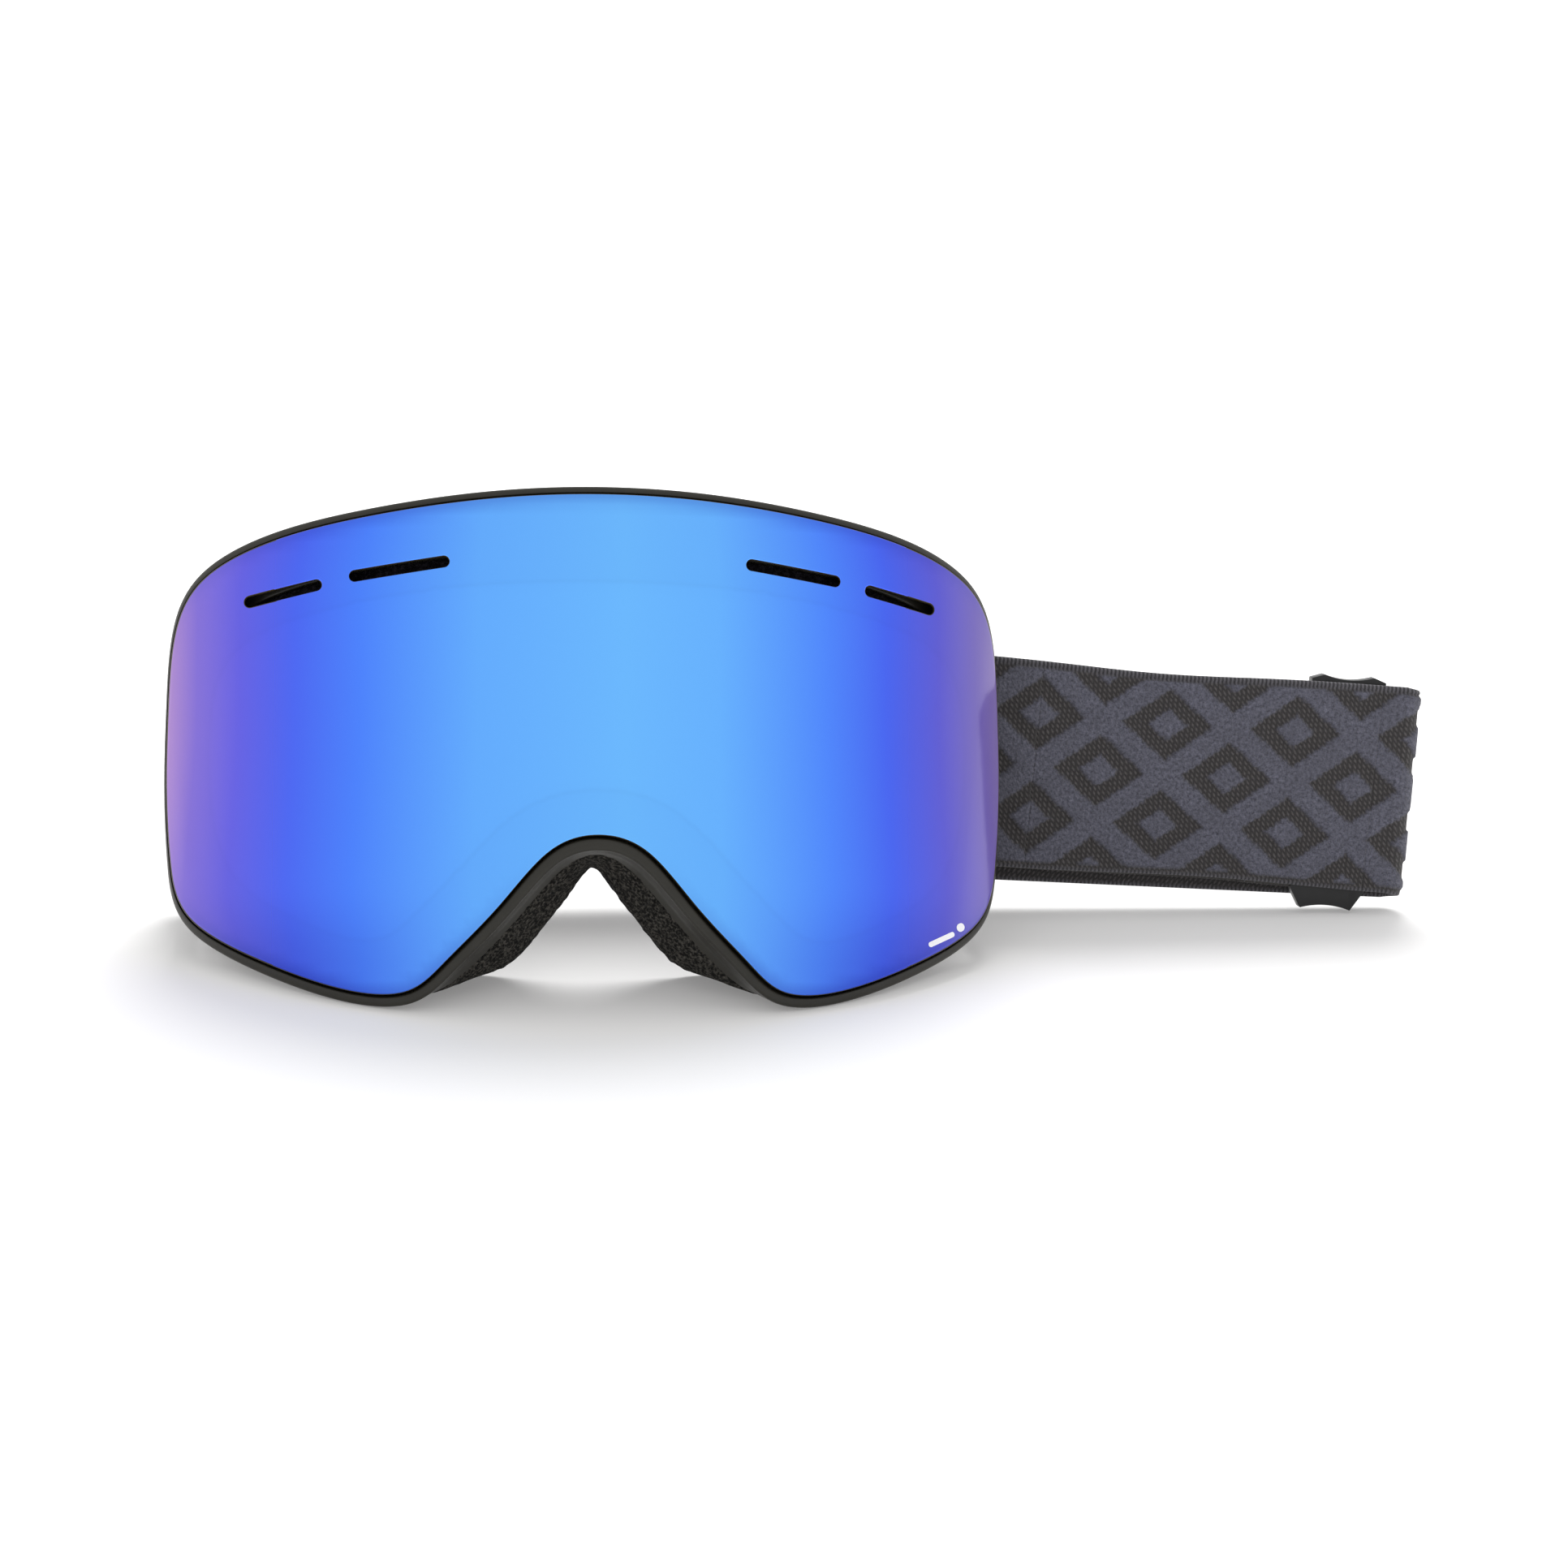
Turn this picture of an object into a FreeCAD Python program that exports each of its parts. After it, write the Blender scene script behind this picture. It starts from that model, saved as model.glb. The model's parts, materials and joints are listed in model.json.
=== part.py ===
import FreeCAD, Part
import math
import os

# Ski goggles with a large cylindrical lens, standing on the lower edge of the frame with the strap
# folded flat to the wearer's left. Millimetres.
#
# The goggles are drawn upright in a "mask" frame: x to the side, y from the lens back to the face,
# z up, zero at the front of the lens and level with its lowest edge. The mask frame is then leaned
# back onto the resting plane, which is Z = 0 in the part's own frame. The strap is drawn in the
# part's own frame, because it stands on the same plane.

# driving dimensions
LEAN_BACK = 20.0             # the mask leans back by this many degrees
LIFT = 6.32                  # height of the mask frame's origin over the resting plane
LENS_RADIUS = 109.0          # cylinder of the lens's front face
LENS_THICKNESS = 1.6
STRAP_WIDTH = 45.0
WEBBING = 1.6                # thickness of the elastic webbing
POST_X = 82.0                # strap bars, to each side of the symmetry plane
LEAF_LENGTH = 94.0           # strap bar to the fold, in plan
LEAF_TURN = 3.2              # the leaves point this many degrees away from the X axis
LEAF_OFFSET = 3.1            # middle of the outer webbing from the line between the pivots
STRAP_LEAN = 8.0             # the strap leans back by this many degrees

BAR_RADIUS = 1.5
LOOP_RADIUS = 3.5            # webbing wound round the bar
ROOT = 7.4                   # the leaves start this far from the bar
POST_Y = 75.9                # middle of the strap bars, from the front of the mask frame
POST_Z = 34.4
FOLD_Z = 26.7                # middle of the front leaf at the fold
BACK_DROP = 1.9              # the back layer stands this much lower at the fold
BACK_RISE = 2.4              # and rises by this many degrees towards the other bar
FOLD_SWEEP = 70.0            # the front leaf goes this many degrees round the fold
LAYER_GAP = 0.3              # clearance between one length of webbing and the next
BACK_GAP = 1.2               # the back layer starts this far from the fold
SLIDER_AT = LEAF_LENGTH - 12.2
RIGHT_SLIDER_AT = 58.0       # the other slider is set nearer to its bar
SLIDER_WIDTH = 16.5
SLIDER_TOP = 23.7            # ends of the slider, across the strap from its middle
SLIDER_BOTTOM = -27.0
SLIDER_PEAKS = 0.68          # the chamfered ends are this share of the slider's width
SLIDER_HOLLOW = (18.0, 0.85) # radius and depth of the hollow in each end
SLIDER_PLATES = (-1.2, 0.9)  # back of the slider and front of its middle bar
SLIDER_LAP = 1.2             # its end plates reach this far in behind the webbing's edges
SIDE_BAR = (3.4, 1.7)        # width of the slider's outer bars, and front of the bars and end plates
TAIL_LENGTH = 12.1            # the sewn end of the inner layer, up to the slider
RETURN_WEBBING = 1.4         # thickness of the inner layer
TAIL_THICKNESS = 2.6         # its sewn end, doubled
ROOT_OFFSET = 2.6            # middle of the outer webbing from the line between the pivots, at the bar
RETURN_OFFSETS = (2.5, 0.25) # the same for the inner layer, at the bar and at its sewn end
GRIP_HEIGHTS = (-13.2, -1.2, 10.8)          # lower edges of the silicone strips
GRIP_SIZE = (2.4, 0.35)      # width and thickness of a strip
BRACKET_FRONT = 45.5         # depth of the side brackets' plates
BRACKET_PLATE = 6.3
BRACKET_WIDTH = 5.6
ARM_COVER = 2.8              # the arms reach this far behind the bar
ARM_ENDS = (1.0, 5.0)        # the arms start and end this far past the webbing's edge
BAR_OVERHANG = 4.5
BAR_PLAY = 0.25              # between the bar and the webbing round it
RETURN_DROP = 0.8            # the inner layer shows this much below the outer one

# depths behind the front face of the lens, measured square to the cylinder
CARRIER = (1.75, 3.3)
SPACER = (1.75, 4.2)
INNER_LENS = (4.65, 5.45)
FLANGE = (3.6, 5.4)
VENT_FOAM = (5.5, 7.0)

# the face side
FACE_DEPTH = 30.0            # lens apex to the face on the symmetry plane
FACE_RADIUS = 115.0          # how fast the face side curves back
SEAL_DEPTH = 13.5            # foam and fleece together
FLEECE = 1.8
MIDDLE_FOAM = 3.8

# Half outlines, seen from the front, as control points of a closed smooth curve. Each starts at the
# top of the symmetry plane and ends in the nose arch, and point n of one faces point n of the next.
LENS = [(0, 100), (23, 99), (46.5, 96), (65.5, 92.5), (81, 86), (85.5, 74.5), (86, 59.5),
        (86.5, 44), (85.5, 28), (83.5, 15.5), (65.5, 6.5), (49.5, 0.5), (36.5, -0.5), (30.5, 6.5),
        (19.5, 17), (10, 30), (0, 32.5)]
RIM = [(0, 101.5), (23, 100.6), (47, 97.5), (66.5, 94), (81.8, 87), (85.9, 75), (86.3, 59.5),
       (86.8, 44), (85.9, 27.5), (84.2, 14.3), (66.2, 4.6), (49.8, -1.5), (35.6, -2.8), (28.8, 4.8),
       (18, 15), (8.6, 27.5), (0, 29.6)]
GASKET = [(0, 82.5), (21, 82), (41, 80.2), (57.5, 77), (70.5, 73), (76.5, 65), (77.5, 54.5),
          (77.5, 43.5), (76, 31.5), (71, 21.5), (60, 15.5), (50, 11), (42, 10.5), (37, 15),
          (27, 25), (16, 38), (0, 42)]
SEAL_OUTER = [(0, 91), (21, 90.5), (42, 88), (57, 84.5), (69, 78.5), (72, 69), (72.5, 58.5),
              (72.5, 46.5), (71.5, 34.5), (67, 19), (53, 10.3), (38, 6.2), (25, 4.6), (17, 5.8),
              (11, 14), (4.6, 21.5), (0, 29.2)]
SEAL_INNER = [(0, 79), (18, 78.5), (36, 76.5), (49, 73.5), (58, 69), (61, 62), (61.5, 55),
              (61, 48), (59.5, 40), (56, 33), (47, 27.5), (38, 23.5), (31, 23), (26.5, 27),
              (20, 34.5), (11, 43), (0, 46.5)]

# vent slots in the lens: centres of the two rounded ends, on the wearer's left
SLOTS = [((30.8, 86.3), (48.3, 84.0)), ((56.0, 82.5), (69.2, 80.0))]
SLOT_HEIGHT = 2.2
# vents through the frame's wall, on the wearer's left: from x to x, from z to z
VENTS = [(4, 14, 80, 110), (18, 28, 80, 110), (32, 40, 80, 110), (37, 42, -10, 14)]
MAGNET_STATIONS = [1.6, 4.4, 7.6, 11.4]      # control points of the outline that they sit beside
MAGNET_RADIUS = 2.1

COS = math.cos(math.radians(LEAN_BACK))
SIN = math.sin(math.radians(LEAN_BACK))
TURN = math.radians(LEAF_TURN)
BAR_TILT = math.radians(LEAN_BACK - STRAP_LEAN)      # the bars lean towards the lens in the mask frame
Vector = FreeCAD.Vector

# The wearer's left is +X. The strap leaves the left bar as the front leaf, turns at the fold and
# comes back behind it to the knee, where the right leaf joins it from the right bar.
POST = Vector(POST_X, POST_Y, POST_Z)
RIGHT_POST = Vector(-POST_X, POST_Y, POST_Z)
FOLD = POST + Vector(LEAF_LENGTH * math.cos(TURN), LEAF_LENGTH * math.sin(TURN), FOLD_Z - POST_Z)
BACK_LENGTH = 2 * POST_X
BACK_START = FOLD - Vector(0, 0, BACK_DROP)
BACK_RUN = Vector(-BACK_LENGTH, 0, BACK_LENGTH * math.tan(math.radians(BACK_RISE)))
KNEE = BACK_START + BACK_RUN
LEAF_RUN = FOLD - POST
RIGHT_RUN = KNEE - RIGHT_POST


def mix(first, second, share):
    """Control points part of the way from one outline to another."""
    return [(a[0] + share * (b[0] - a[0]), a[1] + share * (b[1] - a[1])) for a, b in zip(first, second)]


def whole(half):
    """All the control points of an outline, from its half."""
    return half + [(-x, z) for x, z in reversed(half[1:-1])]


def along(half, u):
    """The point of an outline at u control points from its start."""
    points = whole(half)
    n = math.floor(u)
    t = u - n
    weights = [(1 - t) ** 3, 3 * t ** 3 - 6 * t ** 2 + 4, -3 * t ** 3 + 3 * t ** 2 + 3 * t + 1, t ** 3]
    near = [points[(n + k - 1) % len(points)] for k in range(4)]
    x = sum(w * p[0] for w, p in zip(weights, near)) / 6
    z = sum(w * p[1] for w, p in zip(weights, near)) / 6
    return (x, z)


def lens_y(x, depth=0.0):
    """How far back the lens cylinder is at x, this deep behind its front face."""
    return LENS_RADIUS - math.sqrt((LENS_RADIUS - depth) ** 2 - x * x)


def face_y(x):
    """How far back the wearer's face is at x."""
    return FACE_DEPTH + x * x / (2 * FACE_RADIUS)


def loop(half, depth_at):
    """A closed smooth edge over an outline, on a surface given by its depth at x."""
    points = []
    steps = 2 * len(whole(half))
    for k in range(steps):
        x, z = along(half, k / 2)
        points.append(Vector(x, depth_at(x), z))
    curve = Part.BSplineCurve()
    curve.interpolate(Points=points, PeriodicFlag=True)
    return curve.toShape()


def ring(loops):
    """A closed solid whose section joins these loops in order."""
    edges = [loop(half, depth_at) for half, depth_at in loops]
    faces = [Part.makeRuledSurface(a, b) for a, b in zip(edges, edges[1:] + edges[:1])]
    shell = Part.Shell(faces)
    shell.sewShape()
    solid = Part.Solid(shell)
    if solid.Volume < 0:
        solid.reverse()
    return solid


def prism(half, y_low=-5.0, y_high=70.0):
    """An outline as a solid running front to back."""
    edge = loop(half, lambda x: y_low)
    return Part.Face(Part.Wire(edge)).extrude(Vector(0, y_high - y_low, 0))


def shell_layer(depths):
    """The layer of the lens cylinder between two depths."""
    base = Vector(0, LENS_RADIUS, -20)
    outside = Part.makeCylinder(LENS_RADIUS - depths[0], 160, base)
    inside = Part.makeCylinder(LENS_RADIUS - depths[1], 160, base)
    return outside.cut(inside)


def curved_band(outer, inner, depths):
    """A closed band that follows the lens cylinder between two outlines."""
    front = lambda x: lens_y(x, depths[0])
    back = lambda x: lens_y(x, depths[1])
    return ring([(outer, front), (outer, back), (inner, back), (inner, front)])


def box(low, high):
    size = [b - a for a, b in zip(low, high)]
    return Part.makeBox(size[0], size[1], size[2], Vector(*low))


def lean(shape):
    """From the upright mask frame to the part's own frame."""
    moved = shape.copy()
    moved.rotate(Vector(0, 0, 0), Vector(1, 0, 0), -LEAN_BACK)
    moved.translate(Vector(0, 0, LIFT))
    return moved


def stadium(start, end, height):
    """A rounded slot between two centres, running front to back."""
    run = Vector(end[0] - start[0], 0, end[1] - start[1])
    side = Vector(-run.z, 0, run.x).normalize() * (height / 2)
    middle = run.normalize() * (height / 2)
    a = Vector(start[0], -5, start[1])
    b = Vector(end[0], -5, end[1])
    wire = Part.Wire([
        Part.LineSegment(a + side, b + side).toShape(),
        Part.Arc(b + side, b + middle, b - side).toShape(),
        Part.LineSegment(b - side, a - side).toShape(),
        Part.Arc(a - side, a - middle, a + side).toShape(),
    ])
    return Part.Face(wire).extrude(Vector(0, 80, 0))


def mirrored(shape):
    return shape.mirror(Vector(0, 0, 0), Vector(1, 0, 0))


# ---- lens assembly, which lifts off the frame as one body ----

def make_outer_lens():
    lens = shell_layer((0, LENS_THICKNESS)).common(prism(LENS))
    for start, end in SLOTS:
        slot = stadium(start, end, SLOT_HEIGHT)
        lens = lens.cut(slot).cut(mirrored(slot))
    return lens


def magnets(depths, radius):
    """Round magnets in a ring round the lens, square to its cylinder."""
    seat = mix(LENS, GASKET, 0.36)
    found = []
    for u in MAGNET_STATIONS:
        x, z = along(seat, u)
        inward = Vector(-x, math.sqrt(LENS_RADIUS ** 2 - x * x), 0).normalize()
        front = Vector(0, LENS_RADIUS, z) - inward * (LENS_RADIUS - depths[0])
        disc = Part.makeCylinder(radius, depths[1] - depths[0], front, inward)
        found += [disc, mirrored(disc)]
    return Part.Compound(found)


def make_lens_carrier():
    carrier = curved_band(mix(LENS, GASKET, 0.06), mix(LENS, GASKET, 0.66), CARRIER)
    carrier = carrier.cut(magnets((0, 9), MAGNET_RADIUS + 0.05))
    for start, end in SLOTS:
        slot = stadium(start, end, SLOT_HEIGHT + 1.5)
        carrier = carrier.cut(slot).cut(mirrored(slot))
    return carrier


def make_lens_spacer():
    return curved_band(GASKET, mix(GASKET, SEAL_INNER, 0.35), SPACER)


def make_inner_lens():
    return shell_layer(INNER_LENS).common(prism(GASKET))


# ---- frame ----

def make_face_frame():
    """The moulded frame: a flange behind the lens, a wall and a flange under the face foam."""
    seal_seat = lambda x: face_y(x) - SEAL_DEPTH
    frame = ring([
        (RIM, lambda x: lens_y(x, FLANGE[0])),
        (mix(RIM, SEAL_OUTER, 0.12), lambda x: lens_y(x, FLANGE[1]) + 1.2),
        (SEAL_OUTER, seal_seat),
        (mix(SEAL_OUTER, SEAL_INNER, 0.85), seal_seat),
        (mix(SEAL_OUTER, SEAL_INNER, 0.85), lambda x: seal_seat(x) - 1.6),
        (mix(SEAL_OUTER, SEAL_INNER, 0.2), lambda x: seal_seat(x) - 1.6),
        (mix(RIM, GASKET, 0.22), lambda x: lens_y(x, FLANGE[1])),
        (mix(RIM, GASKET, 0.66), lambda x: lens_y(x, FLANGE[1])),
        (mix(RIM, GASKET, 0.66), lambda x: lens_y(x, FLANGE[0])),
    ])
    for x_low, x_high, z_low, z_high in VENTS:
        window_front = lens_y(x_high, FLANGE[1]) + 2.0
        window_back = seal_seat(x_low) - 2.2
        window = box((x_low, window_front, z_low), (x_high, window_back, z_high))
        frame = frame.cut(window).cut(mirrored(window))
    return frame.cut(magnets((2, FLANGE[0] + 1.25), MAGNET_RADIUS + 0.05))


def make_top_vent_foam():
    """Open foam over the vents between the lens edge and the gasket, seen through the slots."""
    band = curved_band(mix(RIM, GASKET, 0.45), mix(LENS, GASKET, 0.93), VENT_FOAM)
    return band.common(box((-71, -5, 76), (71, 60, 110)))


def seal_layer(back, front, outer_share, inner_share):
    """One layer of the face seal, between two distances ahead of the face."""
    outer = mix(SEAL_OUTER, SEAL_INNER, outer_share)
    inner = mix(SEAL_OUTER, SEAL_INNER, inner_share)
    outer_eased = mix(SEAL_OUTER, SEAL_INNER, outer_share + 0.05)
    inner_eased = mix(SEAL_OUTER, SEAL_INNER, inner_share - 0.05)
    return ring([
        (outer, lambda x: face_y(x) - front),
        (outer, lambda x: face_y(x) - back - 0.5),
        (outer_eased, lambda x: face_y(x) - back),
        (inner_eased, lambda x: face_y(x) - back),
        (inner, lambda x: face_y(x) - back - 0.5),
        (inner, lambda x: face_y(x) - front),
    ])


def bar_point(w):
    """A point of the strap bar in the mask frame, w along it from its middle."""
    middle = unlean(POST)
    return Vector(middle.x, middle.y - w * math.sin(BAR_TILT), middle.z + w * math.cos(BAR_TILT))


def unlean(point):
    """From the part's own frame back to the mask frame."""
    z = point.z - LIFT
    return Vector(point.x, point.y * COS - z * SIN, point.y * SIN + z * COS)


def make_bracket(frame):
    """The side bracket on the wearer's left: a plate on the frame with two arms that hold the bar."""
    window, reach = (STRAP_WIDTH / 2 + end for end in ARM_ENDS)
    open_back = 90
    low = bar_point(-reach)
    high = bar_point(reach)
    inner_low = bar_point(-window)
    inner_high = bar_point(window)
    x = POST_X - BRACKET_WIDTH / 2

    def side(points):
        wire = Part.makePolygon([Vector(x, p[0], p[1]) for p in points + points[:1]])
        return Part.Face(wire).extrude(Vector(BRACKET_WIDTH, 0, 0))

    def square_to_bar(point, y):
        """The place at this depth on a line through the point, square to the bar."""
        return (y, point.z + (y - point.y) * math.tan(BAR_TILT))

    body = side([
        square_to_bar(low, BRACKET_FRONT),
        square_to_bar(low, low.y + ARM_COVER),
        square_to_bar(high, high.y + ARM_COVER),
        square_to_bar(high, BRACKET_FRONT),
    ])
    gap = side([
        square_to_bar(inner_low, BRACKET_FRONT + BRACKET_PLATE),
        square_to_bar(inner_low, open_back),
        square_to_bar(inner_high, open_back),
        square_to_bar(inner_high, BRACKET_FRONT + BRACKET_PLATE),
    ])
    behind_flange = Part.makeCylinder(LENS_RADIUS - FLANGE[0] - 0.1, 160, Vector(0, LENS_RADIUS, -20))
    bracket = body.cut(gap).common(behind_flange).cut(frame)
    direction = high - low
    bracket = bracket.cut(Part.makeCylinder(BAR_RADIUS + 0.02, 60, low - direction * 0.02, direction))
    return max(bracket.Solids, key=lambda solid: solid.Volume)


def make_bar():
    low = bar_point(-STRAP_WIDTH / 2 - BAR_OVERHANG)
    high = bar_point(STRAP_WIDTH / 2 + BAR_OVERHANG)
    return Part.makeCylinder(BAR_RADIUS, (high - low).Length, low, high - low)


# ---- strap, in the part's own frame ----

def placed(shape, origin, run):
    """Puts a shape drawn with X along a strap, Y towards its back and Z across it."""
    along_x = Vector(run).normalize()
    tilt = math.radians(STRAP_LEAN)
    upright = Vector(0, math.sin(tilt), math.cos(tilt))
    across = (upright - along_x * upright.dot(along_x)).normalize()
    back = across.cross(along_x)
    matrix = FreeCAD.Matrix(
        along_x.x, back.x, across.x, origin.x,
        along_x.y, back.y, across.y, origin.y,
        along_x.z, back.z, across.z, origin.z,
        0, 0, 0, 1,
    )
    moved = shape.copy()
    moved.Placement = FreeCAD.Placement(matrix)
    return moved


def ribbon(points, height=STRAP_WIDTH):
    """A length of webbing from its section seen from above."""
    wire = Part.makePolygon([Vector(x, y, -height / 2) for x, y in points + points[:1]])
    return Part.Face(wire).extrude(Vector(0, 0, height))


def leaf_layer(start, end, n_start, n_end, thick=WEBBING):
    """A flat layer between two stations, by the middle of its thickness at each."""
    half = thick / 2
    near = [(start, n_start - half), (end, n_end - half)]
    far = [(end, n_end + half), (start, n_start + half)]
    return ribbon(near + far)


def quarter_turn():
    """The webbing where it starts to go round the fold."""
    outer = Part.makeCylinder(LEAF_OFFSET + WEBBING / 2, STRAP_WIDTH, Vector(0, 0, -STRAP_WIDTH / 2))
    inner = Part.makeCylinder(LEAF_OFFSET - WEBBING / 2, STRAP_WIDTH, Vector(0, 0, -STRAP_WIDTH / 2))
    reach = 3 * LEAF_OFFSET
    end = Vector(reach * math.sin(math.radians(FOLD_SWEEP)), -reach * math.cos(math.radians(FOLD_SWEEP)), 0)
    wedge = Part.makePolygon([Vector(), Vector(0, -reach, 0), Vector(reach, -reach, 0), end, Vector()])
    wedge = Part.Face(wedge).extrude(Vector(0, 0, 2 * STRAP_WIDTH))
    wedge.translate(Vector(0, 0, -STRAP_WIDTH))
    turn = outer.cut(inner).common(wedge)
    turn.translate(Vector(LEAF_LENGTH, 0, 0))
    return turn


def make_slider(side, at):
    """A ladder-lock slider: two bars and a middle bar between end plates, all behind the outer webbing.

    side is -1 where the outer webbing passes in front of it and +1 where it passes behind. at is its
    middle, along the leaf from the bar."""
    half = SLIDER_WIDTH / 2
    top = SLIDER_TOP
    bottom = SLIDER_BOTTOM
    inner = STRAP_WIDTH / 2 - SLIDER_LAP
    back, middle_front = SLIDER_PLATES
    bar_width, bar_front = SIDE_BAR
    middle_half = 1.4
    corner_drop = 0.3

    def slab(x0, x1, n0, n1, z0, z1):
        low = min(side * n0, side * n1)
        high = max(side * n0, side * n1)
        return box((at + x0, low, z0), (at + x1, high, z1))

    body = slab(-half, -half + bar_width, back, bar_front, -inner, inner)
    body = body.fuse(slab(half - bar_width, half, back, bar_front, -inner, inner))
    body = body.fuse(slab(-middle_half, middle_half, back, middle_front, -inner, inner))
    for z0, z1, sign in ((inner, top, 1), (bottom, -inner, -1)):
        body = body.fuse(slab(-half, half, back, bar_front, z0, z1))
        for x in (-half, half):
            corner = Part.makePolygon([
                Vector(at + x, -20, z1 if sign > 0 else z0),
                Vector(at + x * SLIDER_PEAKS, -20, z1 if sign > 0 else z0),
                Vector(at + x, -20, (z0 if sign > 0 else z1) + sign * (SLIDER_LAP + corner_drop)),
                Vector(at + x, -20, z1 if sign > 0 else z0),
            ])
            body = body.cut(Part.Face(corner).extrude(Vector(0, 40, 0)))
        radius, depth = SLIDER_HOLLOW
        scoop_z = (top if sign > 0 else bottom) + sign * (radius - depth)
        scoop = Part.makeCylinder(radius, 40, Vector(at, -20, scoop_z), Vector(0, 1, 0))
        body = body.cut(scoop)
    return body.removeSplitter()


def make_tail(side, at):
    """The sewn end of the return webbing, doubled round the slider's near bar."""
    near = at - SLIDER_WIDTH / 2
    n = side * RETURN_OFFSETS[1]
    tail = leaf_layer(near - TAIL_LENGTH, near - LAYER_GAP, n, n, TAIL_THICKNESS)
    tail.translate(Vector(0, 0, -RETURN_DROP))
    return tail


def make_return(side, at):
    """The inner layer of a leaf, from the bar to the sewn tail."""
    end = at - SLIDER_WIDTH / 2 - TAIL_LENGTH - LAYER_GAP
    at_bar, at_tail = RETURN_OFFSETS
    layer = leaf_layer(ROOT, end, -side * at_bar, side * at_tail, RETURN_WEBBING)
    layer.translate(Vector(0, 0, -RETURN_DROP))
    return layer


def make_loop(origin, run):
    """The webbing wound round a strap bar, drawn upright in the strap's own lean."""
    wound = Part.makeCylinder(LOOP_RADIUS, STRAP_WIDTH, Vector(0, 0, -STRAP_WIDTH / 2))
    hole = Part.makeCylinder(BAR_RADIUS + BAR_PLAY, STRAP_WIDTH, Vector(0, 0, -STRAP_WIDTH / 2))
    return placed(wound.cut(hole), origin, run)


nodes = {}

nodes["outer_lens"] = lean(make_outer_lens())
nodes["lens_carrier"] = lean(make_lens_carrier())
nodes["lens_magnets"] = lean(magnets((CARRIER[0] + 0.1, CARRIER[1]), MAGNET_RADIUS))
nodes["lens_spacer"] = lean(make_lens_spacer())
nodes["inner_lens"] = lean(make_inner_lens())

frame = make_face_frame()
nodes["face_frame"] = lean(frame)
nodes["frame_magnets"] = lean(magnets((FLANGE[0], FLANGE[0] + 1.2), MAGNET_RADIUS))
nodes["top_vent_foam"] = lean(make_top_vent_foam())
nodes["foam_base"] = lean(seal_layer(FLEECE + MIDDLE_FOAM + 0.1, SEAL_DEPTH - 0.05, 0.03, 0.9))
nodes["foam_middle"] = lean(seal_layer(FLEECE + 0.05, FLEECE + MIDDLE_FOAM, 0.03, 0.95))
nodes["face_fleece"] = lean(seal_layer(0, FLEECE, 0.03, 1.0))
nodes["bracket_left"] = lean(make_bracket(frame))
nodes["bracket_right"] = mirrored(nodes["bracket_left"])
nodes["strap_bar_left"] = lean(make_bar())
nodes["strap_bar_right"] = mirrored(nodes["strap_bar_left"])

front_leaf = leaf_layer(ROOT, LEAF_LENGTH, -ROOT_OFFSET, -LEAF_OFFSET).fuse(quarter_turn()).removeSplitter()
nodes["strap_loop_left"] = make_loop(POST, Vector(1, 0, 0))
nodes["strap_left_webbing"] = placed(front_leaf, POST, LEAF_RUN)
nodes["strap_left_return"] = placed(make_return(-1, SLIDER_AT), POST, LEAF_RUN)
nodes["strap_left_slider"] = placed(make_slider(-1, SLIDER_AT), POST, LEAF_RUN)
nodes["strap_left_tail"] = placed(make_tail(-1, SLIDER_AT), POST, LEAF_RUN)

back_leaf = leaf_layer(BACK_GAP, BACK_LENGTH - LAYER_GAP, -LEAF_OFFSET, -LEAF_OFFSET)
nodes["strap_back_webbing"] = placed(back_leaf, BACK_START, BACK_RUN)
grip_width, grip_thickness = GRIP_SIZE
grip_offset = -LEAF_OFFSET + 1.0
grip_sheet = leaf_layer(12, BACK_LENGTH - 30, grip_offset, grip_offset, grip_thickness)
grips = [
    grip_sheet.common(box((0, -9, z), (BACK_LENGTH, 9, z + grip_width)))
    for z in GRIP_HEIGHTS
]
nodes["strap_grip_strips"] = placed(Part.Compound(grips), BACK_START, BACK_RUN)

right_leaf = leaf_layer(ROOT, LEAF_LENGTH - LAYER_GAP, ROOT_OFFSET, LEAF_OFFSET)
nodes["strap_loop_right"] = make_loop(RIGHT_POST, Vector(1, 0, 0))
nodes["strap_right_webbing"] = placed(right_leaf, RIGHT_POST, RIGHT_RUN)
nodes["strap_right_return"] = placed(make_return(1, RIGHT_SLIDER_AT), RIGHT_POST, RIGHT_RUN)
nodes["strap_right_slider"] = placed(make_slider(1, RIGHT_SLIDER_AT), RIGHT_POST, RIGHT_RUN)
nodes["strap_right_tail"] = placed(make_tail(1, RIGHT_SLIDER_AT), RIGHT_POST, RIGHT_RUN)

os.makedirs("parts", exist_ok=True)
for name, shape in nodes.items():
    shape.exportStep(f"parts/{name}.step")
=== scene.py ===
import json
import math

import bmesh
import bpy
import numpy as np
from mathutils import Matrix, Vector
from mathutils.geometry import delaunay_2d_cdt


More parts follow.
